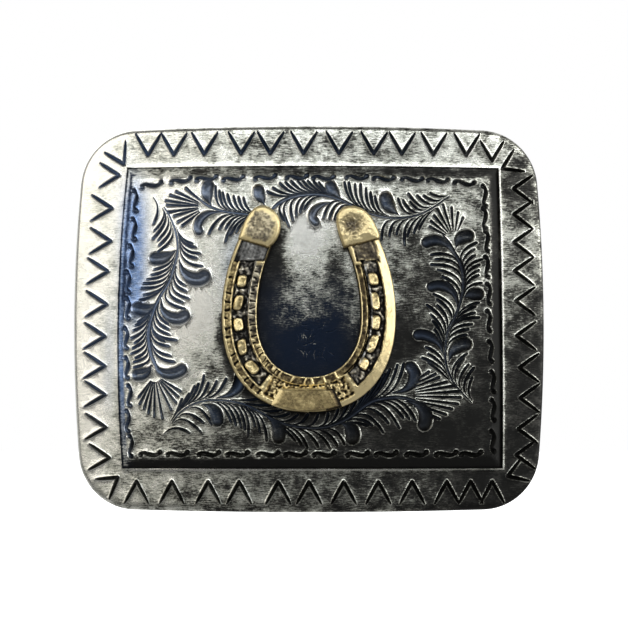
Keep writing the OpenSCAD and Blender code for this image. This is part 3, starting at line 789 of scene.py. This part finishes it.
def shoe_line(inset, n_branch=120, n_toe=400):
    """Points along the shoe from the left heel round the toe to the right heel, inset from its outer edge."""
    half, toe = SHOE_HALF - inset, SHOE_TOE + SHOE_CZ - inset
    t = np.linspace(1.12, 0, n_branch)[:-1]
    branch = np.column_stack((-(half - SHOE_PINCH * t ** 2), SHOE_CZ + SHOE_HEEL * t))
    a = np.linspace(0, math.pi, n_toe)
    power = 2 / SHOE_SQUARE
    x = -np.sign(np.cos(a)) * np.abs(np.cos(a)) ** power * half
    bow = np.column_stack((x, SHOE_CZ - np.abs(np.sin(a)) ** power * toe))
    return np.vstack((branch, bow, branch[::-1] * (-1, 1)))


def step(x, a, b):
    """Smooth rise from 0 at a to 1 at b."""
    t = np.clip((x - a) / (b - a), 0, 1)
    return t * t * (3 - 2 * t)


def grain(points, size, seed):
    """Smooth noise from -1 to 1 at each 2-D point, with features of about the given size."""
    return np.array([noise.noise((p[0] / size, p[1] / size, seed)) for p in points])


def between(x, a, b, soft=0.12):
    """1 between a and b, fading out over the soft width at both ends."""
    return step(x, a - soft, a + soft) * (1 - step(x, b - soft, b + soft))


def nail_lumps(along, q, places, on_right):
    """Nail heads along the crease, from (place along, distance in, half-length, half-width, lean) rows.

    Returns cover from 0 to 1, the lump's own shape, and how far a point is on its shaded side."""
    cover, shape, shaded = np.zeros((3, len(q)))
    for at, inward, long, wide, lean in places:
        x = (q - inward - lean * (along - at)) / wide
        y = (along - at) / long
        share = 1 - step((np.abs(x) ** 3.2 + np.abs(y) ** 4.0), 0.55, 1.35)
        tilt = 0.3 if on_right else 0.16 * np.sign(lean + 0.01)
        dome = -0.3 * (x + 0.15) ** 2 - 0.12 * y ** 2 + tilt * y
        shape = np.where(share > cover, dome, shape)
        shaded = np.where(share > cover, step(-x if on_right else x, -0.3, 0.9), shaded)
        cover = np.maximum(cover, share)
    return cover, shape, shaded


def ripple(x, period, width):
    """Ridges of 1 at every period, with the given width."""
    return np.exp(-((np.mod(x, period) - period / 2) / width) ** 2)


# Nail heads from the heel down: place along from the crease's top, distance in, half-length, half-width, lean.
LEFT_NAILS = ((4.0, 3.05, 1.1, 0.85, 0.05), (7.9, 2.95, 1.35, 0.85, -0.14), (11.8, 3.0, 1.2, 0.88, 0.08),
              (15.8, 3.0, 1.35, 0.82, -0.12), (19.8, 3.05, 1.35, 0.88, 0.14))
RIGHT_NAILS = ((3.6, 3.45, 1.15, 0.92, 0.05), (7.6, 3.7, 1.6, 0.82, -0.04), (11.5, 3.7, 1.35, 0.86, 0.06),
               (15.5, 3.65, 1.8, 0.78, 0.16), (19.5, 3.75, 1.05, 0.98, -0.1))


def rounded(distance, radius):
    """Share of a round edge's drop at a distance from the edge: 1 at the edge, 0 past the radius."""
    return 1 - np.sqrt(1 - np.clip(1 - distance / radius, 0, 1) ** 2)


def shoe_section(q, left, heelward):
    """The casting's plain cross-section: a narrow bevel outside on the left, a long slope on the right."""
    narrow = 0.55 * np.clip(1 - q / 0.5, 0, 1)
    slope = 0.75 * np.clip(1 - q / 1.75, 0, 1) + 0.3 * rounded(q, 0.35)
    inner = 0.4 * rounded(SHOE_WEB - q, 0.3)
    band = 0.45 * np.clip(1 - (SHOE_WEB - q) / 1.1, 0, 1) * heelward * ~left
    return SHOE_T - np.where(left, narrow, slope) - inner - band


def shoe_height(uv, q, along, crease_ends):
    """Height of the casting's top over the plate, how grey it is, and how dark it is painted: grime, and painted
    shade on the nail heads' shaded sides and along the crease's edges.

    q runs across from the outer edge, and along runs from the nearer heel."""
    left = uv[:, 0] < 0
    fine, middle, wide = grain(uv, 0.42, 3.1), grain(uv, 0.9, 7.7), grain(uv, 2.2, 5.2)
    top, low = crease_ends
    warp = along + 0.45 * wide + 0.2 * middle
    on_toe = step(along, low + 0.6, low + 1.6)
    on_branch = 1 - on_toe
    body = shoe_section(q, left, 1 - step(along, top + 4, top + 12))

    # Crease with its nail heads, and pits left open at both ends.
    start, end = np.where(left, CREASE_LEFT[0], CREASE_RIGHT[0]), np.where(left, CREASE_LEFT[1],
        CREASE_RIGHT[1])
    lane = between(q + 0.1 * middle, start, end) * between(along, top + 0.2, low, 0.2)
    lumps = zip(nail_lumps(along - top, q, LEFT_NAILS, False), nail_lumps(along - top, q, RIGHT_NAILS,
        True))
    cover, shape, shaded = (np.where(left, a, b) for a, b in lumps)
    hollow = CREASE_D - 0.5 * np.maximum(middle, -0.2) - 0.08 * fine
    body += lane * cover * (hollow + 0.18 + shape + 0.1 * middle) - lane * hollow

    # Ledge and groove at the crease's inner side.
    ledge = between(q, 4.2, 4.6, 0.08) * between(along, top + 1.5, low - 2, 0.5) * ~left
    groove = np.exp(-((q - np.where(left, 4.62, 4.95)) / 0.13) ** 2) * between(along, top + 0.5, low +
        0.5, 0.5)
    body += ledge * 0.35 * lane * (1 - cover) - 0.3 * groove

    # Sunk inner strip: low cells with fine gaps on the left branch, framed cells round the toe, bark on the right.
    strip = between(q, *INNER_STRIP, 0.1) * step(along, top + 0.6, top + 1.4)
    frames = strip * on_toe * (1 - ripple(warp, 2.8, 0.24))
    gaps = strip * left * on_branch * ripple(warp + 0.25 * wide, 1.25, 0.15) * step(middle, -0.5, 0.2)
    bark = strip * ~left * on_branch
    body -= frames * (0.26 + 0.12 * fine + 0.16 * middle) + 0.22 * gaps
    body -= strip * on_branch * (np.where(left, 0.12 - 0.16 * middle, 0.15 + 0.12 * middle) + 0.1 * fine)

    # Outer strip: cells between fine notches on the left branch, smooth on the right one.
    outer = between(q, *OUTER_STRIP, 0.1) * left * between(along, top - 0.5, low + 1, 0.8)
    notch = ripple(warp + 0.4, 1.45, 0.16) * step(grain(uv, 1.7, 2.6), -0.45, 0.05)
    body -= outer * (0.14 + 0.3 * notch + 0.16 * middle)

    # Plain recess between the crease and the heel pad, open towards the crease, with a ragged edge on the right.
    ragged = np.where(left, 0.0, 0.3) * middle
    recess = np.where(left, between(q, *RECESS_LEFT, 0.12), between(q + ragged, *RECESS_RIGHT, 0.35))
    recess *= 1 - step(along + 2 * ragged, top, top + 0.5)
    streak = grain(np.column_stack((q, along * 0.25)), 0.5, 8.3)
    body -= recess * (0.5 + np.where(left, 0.08, 0.3) * middle + 0.05 * streak)

    # Rough ground between the crease and the toe grip, and a rough skin all over.
    rough_toe = on_toe * between(q, *ROUGH_TOE, 0.3)
    knobs = grain(uv, 0.8, 6.1) + 0.6 * fine
    body -= rough_toe * (0.6 - 0.28 * knobs)
    skin = np.where(left, 0.7, 0.6) + 0.4 * step(q, 1.7, 2.2)
    body += skin * (0.04 * fine + 0.06 * middle)

    # Grey where the brass is dulled to lead colour.
    bare = lane * (1 - cover)
    upper = left * (1 - step(along, top + 8, top + 18))
    grey = recess * np.where(left, 1.0, 0.35) + bare * 0.75 + 0.8 * ledge
    grey += 0.6 * upper * strip + 0.5 * groove * left + 0.5 * upper * between(q, 4.4, 4.95, 0.1)

    # Darkness: grime in all that is sunk, and painted shade on the nail heads' shaded sides and along the crease's
    # two edges.
    edge_shade = 0.26 - 0.3 * middle
    darkness = bare * (0.46 - 0.5 * np.clip(middle + 0.15, 0, 1) - 0.15 * fine)
    darkness += recess * np.where(left, 0.36 + 0.2 * streak, 0.38 - 0.7 * middle)
    darkness += lane * cover * (0.45 * shaded + 0.16 * left + 0.2 * middle) + 0.3 * groove
    darkness += frames * (0.38 - 0.4 * fine) + 0.35 * gaps + bark * (0.52 - 0.4 * fine)
    darkness += strip * left * on_branch * (0.24 - 0.45 * middle - 0.2 * fine)
    darkness += outer * (0.42 + 0.3 * notch - 0.25 * fine - 0.3 * middle) + rough_toe * (0.26 - 0.26 * knobs)
    # Painted shade lines along the right outer strip's inner edge and along the crease's inner edge.
    darkness += ~left * between(q, 1.5, 2.0, 0.25) * between(along, top, low, 0.5) * edge_shade
    darkness += between(q, 4.5, 4.95, 0.1) * step(along, top, top + 1) * on_branch * edge_shade
    darkness += left * on_branch * (0.2 * step(q, 5.95, 6.15) + 0.12 * between(q, 1.55, 1.85, 0.08))
    darkness += np.where(left, 0.06 + 0.2 * wide, 0.05 + 0.12 * wide + 0.15 * middle) + 0.1 * ledge
    return body, np.clip(grey, 0, 1), darkness


def tube_faces(rows, n, flip=False):
    """Faces of a closed tube, whose rows of n points follow one another."""
    corners = [(r * n + k, r * n + (k + 1) % n, (r + 1) * n + (k + 1) % n, (r + 1) * n + k)
               for r in range(rows - 1) for k in range(n)]
    return [(a, d, c, b) for a, b, c, d in corners] if flip else corners


def shoe_band(rows=62):
    """The branches and toe: top surface from a grid, with walls down to the plate."""
    outer, inner = shoe_line(0.0), shoe_line(SHOE_WEB)
    count = len(outer)
    q = SHOE_WEB * np.linspace(0, 1, rows)
    share = (q / SHOE_WEB)[:, None, None]
    uv = ((1 - share) * outer + share * inner).reshape(-1, 2)
    mid = (outer + inner) / 2
    run = np.concatenate(([0.0], np.cumsum(np.hypot(*np.diff(mid, axis=0).T))))
    along = np.minimum(run, run[-1] - run)
    half = slice(0, count // 2)
    crease_ends = [np.interp(-z, -mid[half, 1], run[half]) for z in (CREASE_TOP, CREASE_LOW)]
    height, grey, darkness = shoe_height(uv, np.repeat(q, count), np.tile(along, rows), crease_ends)
    foot = np.full(count, SHOE_FOOT)
    uvh = np.vstack((np.column_stack((outer, foot)), np.column_stack((uv, height)),
        np.column_stack((inner, foot))))
    total = rows + 2
    faces = []
    for r in range(total - 1):
        for k in range(count - 1):
            a = r * count + k
            faces.append((a, a + count, a + count + 1, a + 1))
    last = (total - 1) * count
    faces.append(tuple(range(0, total * count, count)))
    faces.append(tuple(reversed(range(count - 1, total * count, count))))
    faces += [(k + 1, last + k + 1, last + k, k) for k in range(count - 1)]
    # Dark value: patina in the hollows, plus the darkness with its painted shade, and painted shade on the walls.
    sunk_and_shade = hollow_share(height.reshape(rows, count)) + darkness.reshape(rows, count)
    walls = np.full(count, WALL_SHADE)
    return uvh, faces, np.concatenate((walls, sunk_and_shade.ravel(), walls)), np.concatenate((walls * 0, grey,
        walls * 0))


def hollow_share(heights):
    """How sunk each grid point is against its surroundings."""
    around = heights.copy()
    for _ in range(12):
        padded = np.pad(around, 1, mode="edge")
        around = (padded[:-2, 1:-1] + padded[2:, 1:-1] + padded[1:-1, :-2] + padded[1:-1, 2:] + around) / 5
    return np.clip((around - heights) * 4.0, -0.5, 1)


def pad_outline(points, n=120):
    """A heel pad's outline: a smooth curve from one end of its straight foot over the top to the other."""
    over = curve(points, n)
    over[:, 1] = np.minimum(over[:, 1], PAD_TOP)
    foot = np.linspace(over[-1], over[0], 30)[1:-1]
    return np.vstack((over, foot))


def grip_outline(n=40):
    """Toe grip: a wedge of the toe between two sloping ends, its lower side on the shoe's outer curve."""
    toe = shoe_line(0.12)
    low = toe[(toe[:, 0] > -6.7) & (toe[:, 0] < 5.9) & (toe[:, 1] < -10)]
    top = np.column_stack((np.linspace(4.3, -5.0, n), np.full(n, -12.65)))
    left = np.linspace(top[-1], low[0], 12)[1:-1]
    right = np.linspace(low[-1], top[0], 12)[1:-1]
    return np.vstack((top, left, low, right))


# Rings of a pad as shares of its outline, from the edge to the middle: close together at the edge.
PAD_SHARES = np.concatenate((np.linspace(0.03, 0.7, 16), np.linspace(0.7, 1.0, 15)[1:]))[::-1]


def raised_pad(outline, top, edge, seed, dome=0.0, crater=None, stained=0.0, darkness=0.0, bevel=0.0):
    """A lump over an outline: rounded or bevelled edge, domed top, and a rough crater at (u, v, radius) if given."""
    centre = outline.mean(0)
    count = len(outline)
    uv = np.vstack([centre + share * (outline - centre) for share in PAD_SHARES])
    inset = np.repeat(1 - PAD_SHARES, count) * np.hypot(*(outline - centre).T).mean()
    drop = 1 - (np.clip(inset / edge, 0, 1) if bevel else 1 - rounded(inset, edge))
    small, fine = grain(uv, 0.9, seed), grain(uv, 0.4, seed + 5)
    bowl = np.exp(-(((uv - crater[:2]) / crater[2]) ** 2).sum(1)) if crater else 0.0
    dents = (0.04 * step(inset, 0.3, 1.2) + 0.36 * bowl) * (small + 0.6 * fine)
    height = top - (bevel or edge) * drop - dome * np.clip(1 - inset / 2.8, 0, 1) ** 2 - 0.65 * bowl + dents
    foot = np.column_stack((outline, np.full(count, SHOE_FOOT)))
    uvh = np.vstack((foot, np.column_stack((uv, np.minimum(height, top))), [[*centre, height[-1]]]))
    last = len(PAD_SHARES) * count
    faces = tube_faces(len(PAD_SHARES) + 1, count)
    faces += [(last + k, last + (k + 1) % count, last + count) for k in range(count)]
    faces.append(tuple(reversed(range(count))))
    # Stained in the middle or the crater; painted shade along the straight foot; on the bevels, painted shade right
    # of u = 3 and painted light elsewhere.
    middle = bowl if crater else step(inset + 0.6 * small, 0.6, 1.4)
    stain_and_shade = darkness + stained * middle * np.clip(0.7 + 0.6 * small + 0.9 * fine, 0, 1.4)
    way = outline[0] - outline[-1]
    from_foot = np.abs((uv[:, 0] - outline[0, 0]) * way[1] - (uv[:, 1] - outline[0, 1]) * way[0])
    stain_and_shade = stain_and_shade + 0.4 * (1 - step(from_foot / np.hypot(*way), 0.1, 0.5))
    if bevel:
        stain_and_shade = stain_and_shade + np.where(uv[:, 0] > 3, 0.5, -0.4) * drop
    sunk_and_shade = np.concatenate((np.full(count, WALL_SHADE), stain_and_shade - 1.2 * dents, [0.2]))
    grey = np.concatenate((np.zeros(count), 0.45 * middle * np.sign(stained), [0.0]))
    return uvh, faces, sunk_and_shade, grey


def peened_pegs(n=48):
    """The three pegs' peened heads, on the back of the plate: profile points (radius, depth behind the back)."""
    lo, hi = (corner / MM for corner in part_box("rivet_burrs"))
    burr_t, burr_r, peg_r, peen = 0.6, 2.3, 1.1, 0.6
    places = ((lo.x + burr_r, hi.z - burr_r), (hi.x - burr_r, hi.z - burr_r), (0.0, lo.z + burr_r))
    profile = ((peg_r, -PLATE_T - 0.5), (peg_r, burr_t * 0.5), (1.72, burr_t + 0.01), (1.8, burr_t + 0.1),
               (1.7, burr_t + 0.3), (1.35, burr_t + 0.45), (0.8, burr_t + 0.55), (0.3, burr_t + peen))
    around = np.linspace(0, 2 * math.pi, n + 1)[:-1]
    last = (len(profile) - 1) * n
    faces = tube_faces(len(profile), n, flip=True) + [tuple(range(last, last + n)),
        tuple(reversed(range(n)))]
    parts = []
    for k, (x, z) in enumerate(places):
        uvh = [(x + r * (1 + 0.05 * math.sin(3 * a + k)) * math.cos(a), z + r * math.sin(a), -PLATE_T - d)
               for r, d in profile for a in around]
        parts.append((np.array(uvh), faces, np.full(len(uvh), -0.1), np.zeros(len(uvh))))
    return parts


def joined(parts):
    """One point list, face list, and two value lists from several."""
    faces, first = [], 0
    for part in parts:
        faces += [tuple(first + k for k in f) for f in part[1]]
        first += len(part[0])
    points, _, sunk_and_shade, grey = zip(*parts)
    return np.vstack(points), faces, np.concatenate(sunk_and_shade), np.concatenate(grey)


def horseshoe(material):
    """The cast horseshoe, with the pegs on its back."""
    top = SHOE_T + SHOE_PROUD
    parts = [shoe_band(), raised_pad(pad_outline(LEFT_PAD), top, 0.55, 2.2, dome=0.3, stained=0.4),
        raised_pad(pad_outline(RIGHT_PAD), top, 0.55, 9.4, dome=0.4, crater=(7.7, 16.5, 1.7),
        stained=0.62), raised_pad(grip_outline(), top, 0.7, 4.1, darkness=0.35, bevel=0.45)] + peened_pegs()
    uvh, faces, sunk_and_shade, grey = joined(parts)
    made = make_object("horseshoe_casting", uvh, faces, material, sharp=50)
    add_attribute(made.data, "sunk_and_shade", sunk_and_shade)
    add_attribute(made.data, "grey", grey)
    add_flat_coordinates(made.data, uvh)
    return made


# ---------------------------------------------------------------- materials
class Value:
    """A number in a node tree.  Sums, differences and products of these make Math nodes."""

    def __init__(self, tree, socket):
        self.tree, self.socket = tree, socket

    def math(self, operation, a, b):
        made = node(self.tree, "ShaderNodeMath", operation=operation)
        plug(self.tree, a, made.inputs[0])
        plug(self.tree, b, made.inputs[1])
        return Value(self.tree, made.outputs[0])

    def __add__(self, other):
        return self.math("ADD", self, other)

    def __sub__(self, other):
        return self.math("SUBTRACT", self, other)

    def __rsub__(self, other):
        return self.math("SUBTRACT", other, self)

    def __mul__(self, other):
        return self.math("MULTIPLY", self, other)

    __radd__, __rmul__ = __add__, __mul__

    def at_least(self, other):
        return self.math("MAXIMUM", self, other)

    def clamped(self):
        """The same value, kept from 0 to 1."""
        self.socket.node.use_clamp = True
        return self


def plug(tree, value, socket):
    """Links a value or an output to an input, or sets a number or an (r, g, b) colour on it."""
    if isinstance(value, (Value, bpy.types.NodeSocket)):
        tree.links.new(getattr(value, "socket", value), socket)
    elif isinstance(value, tuple):
        socket.default_value = (*value, 1.0)
    else:
        socket.default_value = value


def new_material(name):
    made = bpy.data.materials.new(name)
    made.use_nodes = True
    return made, made.node_tree, made.node_tree.nodes["Principled BSDF"]


def node(tree, kind, **settings):
    made = tree.nodes.new(kind)
    for key, value in settings.items():
        setattr(made, key, value)
    return made


def attribute(tree, name):
    return Value(tree, node(tree, "ShaderNodeAttribute", attribute_name=name).outputs["Fac"])


def flat_place(tree):
    """Where a point lies on the plate laid flat, in mm."""
    return node(tree, "ShaderNodeAttribute", attribute_name="flat").outputs["Vector"]


def object_place(tree):
    """Where a point lies in its object, in mm."""
    return scaled(tree, node(tree, "ShaderNodeTexCoord").outputs["Object"], (1 / MM, 1 / MM, 1 / MM))


def scaled(tree, vector, scale):
    made = node(tree, "ShaderNodeVectorMath", operation="MULTIPLY")
    tree.links.new(vector, made.inputs[0])
    made.inputs[1].default_value = scale
    return made.outputs[0]


def noise_value(tree, place, scale, detail, roughness=0.55):
    """Noise from 0 to 1 over a place in mm, with a scale along each axis."""
    made = node(tree, "ShaderNodeTexNoise")
    tree.links.new(scaled(tree, place, scale), made.inputs["Vector"])
    made.inputs["Scale"].default_value = 1.0
    made.inputs["Detail"].default_value = detail
    made.inputs["Roughness"].default_value = roughness
    return Value(tree, made.outputs["Fac"])


def ramp(tree, value, stops):
    """Colour ramp with (position, (r, g, b)) stops."""
    made = node(tree, "ShaderNodeValToRGB")
    plug(tree, value, made.inputs["Fac"])
    elements = made.color_ramp.elements
    while len(elements) < len(stops):
        elements.new(0.5)
    for element, (at, colour) in zip(elements, stops):
        element.position = at
        element.color = (*colour, 1.0)
    return made.outputs["Color"]


def blend(tree, share, a, b):
    """Colour a where the share is 0 and b where it is 1."""
    made = node(tree, "ShaderNodeMix", data_type="RGBA")
    for socket, value in zip((made.inputs[0], made.inputs[6], made.inputs[7]), (share, a, b)):
        plug(tree, value, socket)
    return made.outputs[2]


def metal(tree, shader, colour, roughness, height, strength, distance):
    """Finishes a metal: its colour, its roughness, and a fine bump of a strength and a distance in metres."""
    made = node(tree, "ShaderNodeBump")
    made.inputs["Strength"].default_value = strength
    made.inputs["Distance"].default_value = distance
    plug(tree, height, made.inputs["Height"])
    tree.links.new(made.outputs["Normal"], shader.inputs["Normal"])
    plug(tree, colour, shader.inputs["Base Color"])
    plug(tree, roughness, shader.inputs["Roughness"])
    shader.inputs["Metallic"].default_value = 1.0


SILVER_RAMP = ((0.0, (0.9, 0.89, 0.83)), (0.3, (0.73, 0.735, 0.66)), (0.5, (0.41, 0.415, 0.36)),
               (0.72, (0.085, 0.083, 0.075)), (1.0, (0.022, 0.022, 0.021)))
BRASS_RAMP = ((0.48, (0.44, 0.35, 0.17)), (0.72, (0.12, 0.09, 0.05)), (1.0, (0.022, 0.018, 0.014)))
LEAD_RAMP = ((0.0, (0.6, 0.6, 0.58)), (0.6, (0.2, 0.2, 0.195)), (1.0, (0.025, 0.025, 0.025)))
SATIN_RAMP = ((0.3, (0.7, 0.67, 0.6)), (0.6, (0.45, 0.42, 0.37)), (0.85, (0.14, 0.13, 0.11)))
SKY_REFLECTION, SKY_REFLECTION_DARK, NAVY_REFLECTION = (0.16, 0.28, 0.55), (0.03, 0.045, 0.09), (0.012, 0.019, 0.036)
CUT_BLACK, CUT_BLUE_REFLECTION = (0.014, 0.014, 0.013), (0.115, 0.17, 0.285)


def plate_material():
    """Nickel silver, blackened and rubbed back, with painted shade and light from the dark value: bright ground with
    a painted sky reflection on the left, black cuts with a painted blue reflection, brushed scratches along u.
    """
    made, tree, shader = new_material("engraved_nickel_silver")
    flat = flat_place(tree)
    brushed = noise_value(tree, flat, (0.8, 5.5, 5.5), 6, 0.7)
    speckle = noise_value(tree, flat, (2.4, 3.6, 3.6), 6, 0.8)
    cloud = noise_value(tree, flat, (0.3, 0.36, 0.36), 6, 0.65)
    scratched = noise_value(tree, flat, (0.9, 14.0, 1.0), 5, 0.8)
    dark, cut, sky, blue = (attribute(tree, name) for name in ("dark", "cut", "sky", "blue"))
    # The darkness, tarnish and painted shade together, is most uneven where the tarnish is half worn off.
    uneven = (brushed - 0.5) * 2.3 + (speckle - 0.5) * 1.5 + (cloud - 0.5) * 2.1
    half_worn = 0.3 + (dark * (1.0 - dark) * 2.9).at_least(0.0)
    tarnish_and_shade = (dark + uneven * half_worn).clamped()
    # Painted reflections: navy where the dark ground reflects blue, and a painted blue sky reflection on the bright
    # ground.
    ground = blend(tree, blue * tarnish_and_shade, ramp(tree, tarnish_and_shade, SILVER_RAMP), NAVY_REFLECTION)
    ground = blend(tree, (sky * (0.3 + brushed * 1.2)).clamped(), ground, blend(tree, tarnish_and_shade, SKY_REFLECTION,
        SKY_REFLECTION_DARK))
    in_cut = ((cut - 0.12) * 3.2).clamped()
    in_cut = (in_cut * (speckle * 0.5 + 0.65)).clamped()
    # Cuts are black, with a painted blue reflection where the blue value is high.
    colour = blend(tree, in_cut, ground, blend(tree, blue, CUT_BLACK, CUT_BLUE_REFLECTION))
    roughness = (0.24 + tarnish_and_shade * 0.2 + in_cut * 0.12).clamped()
    metal(tree, shader, colour, roughness, scratched + speckle * 1.2, 0.3, 0.00005)
    return made


def brass_material(name, cast=False, clean=(0.88, 0.76, 0.46)):
    """Brass: pale and worn where it stands proud, brown-black where it is sunk, and darker where shade is painted
    on.

    A cast one reads the mesh's values for how sunk and how shaded it is, and its grey values."""
    made, tree, shader = new_material(name)
    place = flat_place(tree) if cast else object_place(tree)
    fine = noise_value(tree, place, (2.2, 2.2, 2.2), 5, 0.65)
    broad = noise_value(tree, place, (0.35, 0.35, 0.35), 3)
    sunk_and_shade = attribute(tree, "sunk_and_shade") + 0.2 if cast else 0.2
    darkness = ((fine - 0.5) * 0.7 + (broad - 0.5) * 0.5 + sunk_and_shade).clamped()
    polished = tuple(min(1.0, c * 1.08) for c in clean)
    colour = ramp(tree, darkness, ((0.0, polished), (0.3, clean), *BRASS_RAMP))
    if cast:
        colour = blend(tree, attribute(tree, "grey"), colour, ramp(tree, darkness, LEAD_RAMP))
    metal(tree, shader, colour, 0.34 + darkness * 0.3, fine, 0.5, 0.00009)
    return made


def satin_silver():
    """Nickel silver of the soldered fittings: plain satin with faint drawing marks."""
    made, tree, shader = new_material("satin_nickel_silver")
    place = object_place(tree)
    fine = noise_value(tree, place, (3.0, 3.0, 0.6), 5, 0.7)
    broad = noise_value(tree, place, (0.3, 0.3, 0.3), 3)
    darkness = (fine * 0.5 + broad * 0.6).clamped()
    metal(tree, shader, ramp(tree, darkness, SATIN_RAMP), 0.28 + darkness * 0.2, fine, 0.3, 0.00005)
    return made


# ---------------------------------------------------------------- camera, light and floor
# Eye: its distance in metres, how many degrees below level it looks up from, and its lens on a 36 mm sensor.
EYE_DISTANCE, EYE_DROP = 0.33, 3.0
LENS, SHIFT = 104.90446, (0.008, 0.0072)
# Softboxes: name, place, size, watts and colour.
SOFTBOXES = (("key_left", (-0.62, -0.72, 0.3), (0.7, 0.7), 2.45, (1.0, 0.965, 0.9)),
             ("over_camera", (0.08, -0.9, 0.34), (0.9, 0.25), 2.3, (0.95, 0.98, 1.0)),
             ("right_high", (0.66, -0.6, 0.42), (0.5, 0.4), 1.7, (1.0, 1.0, 0.98)),
             ("right_side", (0.9, -0.42, 0.1), (0.5, 0.7), 3.2, (1.0, 1.0, 1.0)),
             ("back", (-0.3, 0.8, 0.5), (0.8, 0.8), 4.0, (1.0, 1.0, 1.0)))
FLOOR_HALF, FLOOR_GAP = 2.0, 0.03


def aimed(made, place):
    """Puts a camera or lamp at a place, turned towards the origin."""
    made.location = place
    made.rotation_mode = "QUATERNION"
    made.rotation_quaternion = (-Vector(place)).to_track_quat("-Z", "Y")
    bpy.context.scene.collection.objects.link(made)
    return made


def camera():
    """Straight on, a little below the buckle."""
    lens = bpy.data.cameras.new("camera")
    lens.sensor_width, lens.lens = 36.0, LENS
    lens.shift_x, lens.shift_y = SHIFT
    lens.clip_start = 0.01
    tilt = math.radians(EYE_DROP)
    back = Vector((0, -math.cos(tilt), -math.sin(tilt)))
    bpy.context.scene.camera = aimed(bpy.data.objects.new("camera", lens), back * EYE_DISTANCE)


def softbox(name, place, size, watts, colour):
    """A rectangular lamp that the camera doesn't see."""
    lamp = bpy.data.lights.new(name, "AREA")
    lamp.shape = "RECTANGLE"
    lamp.size, lamp.size_y = size
    lamp.energy = watts
    lamp.color = colour
    aimed(bpy.data.objects.new(name, lamp), place).visible_camera = False


def graded(tree, value, start, end, low, high):
    """A number that goes from low to high while the value goes from start to end."""
    made = node(tree, "ShaderNodeMapRange")
    for socket, number in zip(made.inputs[1:5], (start, end, low, high)):
        socket.default_value = number
    tree.links.new(value, made.inputs["Value"])
    return Value(tree, made.outputs[0])


def studio():
    """Softboxes, and a world that is white to the camera and a soft grey room to the metal."""
    for box in SOFTBOXES:
        softbox(*box)
    world = bpy.data.worlds.new("studio")
    world.use_nodes = True
    tree = world.node_tree
    seen, lit = tree.nodes["Background"], node(tree, "ShaderNodeBackground")
    seen.inputs["Color"].default_value = (1, 1, 1, 1)
    seen.inputs["Strength"].default_value = 1.0
    way = node(tree, "ShaderNodeSeparateXYZ")
    tree.links.new(node(tree, "ShaderNodeTexCoord").outputs["Generated"], way.inputs[0])
    behind_eye = graded(tree, way.outputs["Y"], -0.45, 0.25, 0.05, 0.8)
    table = graded(tree, way.outputs["Z"], -0.25, -0.5, 0.0, 0.5)
    plug(tree, behind_eye.at_least(table), lit.inputs["Strength"])
    mix = node(tree, "ShaderNodeMixShader")
    tree.links.new(node(tree, "ShaderNodeLightPath").outputs["Is Camera Ray"], mix.inputs[0])
    tree.links.new(lit.outputs[0], mix.inputs[1])
    tree.links.new(seen.outputs[0], mix.inputs[2])
    tree.links.new(mix.outputs[0], tree.nodes["World Output"].inputs["Surface"])
    bpy.context.scene.world = world
    bpy.context.scene.view_settings.view_transform = "Standard"


def floor():
    """A pale floor under the buckle, which the metal doesn't mirror."""
    size, z = FLOOR_HALF, cad_box[0].z - FLOOR_GAP
    mesh = bpy.data.meshes.new("floor")
    mesh.from_pydata([(-size, -size, z), (size, -size, z), (size, size, z), (-size, size, z)], [], [(0, 1,
        2, 3)])
    made = bpy.data.objects.new("floor", mesh)
    material, tree, shader = new_material("pale_floor")
    for name, value in (("Base Color", (0.9, 0.9, 0.9)), ("Roughness", 0.9), ("Emission Color", (1.0, 1.0, 1.0)),
                        ("Emission Strength", 1.0)):
        plug(tree, value, shader.inputs[name])
    mesh.materials.append(material)
    made.visible_glossy = False
    bpy.context.scene.collection.objects.link(made)


# ---------------------------------------------------------------- putting it together
def engraved_plate(material):
    """The bent plate, with everything that is engraved in its front."""
    scrolls = left_scroll() + top_left_scroll() + top_scroll() + right_scroll() + bottom_scroll()
    uvh, polygons, depth, rim = plate_mesh(border_vees() + field_stamps() + scrolls + scratches())
    made = make_object("engraved_plate", uvh, polygons, material, sharp=38)
    on_back = uvh[:, 2] < -PLATE_T + 0.2
    add_attribute(made.data, "cut", depth)
    # The dark value: blackening with painted shade and light, lifted on the bright rims; sky and blue hold painted
    # reflections.
    add_attribute(made.data, "dark", np.where(on_back, back_field(uvh), patina_and_shade_field(uvh) - 0.55 * rim))
    add_attribute(made.data, "sky", np.where(on_back, 0.0, sky_reflection_field(uvh) * (1 - 0.75 * depth)))
    add_attribute(made.data, "blue", np.where(on_back, 0.0, blue_reflection_field(uvh, depth)))
    add_flat_coordinates(made.data, uvh)
    return made


def dress(name, material):
    """Gives a CAD node its finish."""
    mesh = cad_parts[name].data
    mesh.materials.clear()
    mesh.materials.append(material)


camera()
studio()
floor()

plate = engraved_plate(plate_material())
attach(plate, "buckle")
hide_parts("face_plate")

shoe = horseshoe(brass_material("cast_brass", cast=True, clean=(0.88, 0.73, 0.4)))
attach(shoe, "buckle")
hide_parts("horseshoe")

silver = satin_silver()
for part in ("hinge_base", "hinge_tube", "hook_base"):
    dress(part, silver)
dress("bail", brass_material("drawn_brass_wire"))
dress("hook_peg", brass_material("turned_brass"))
dress("rivet_burrs", brass_material("burr_brass"))
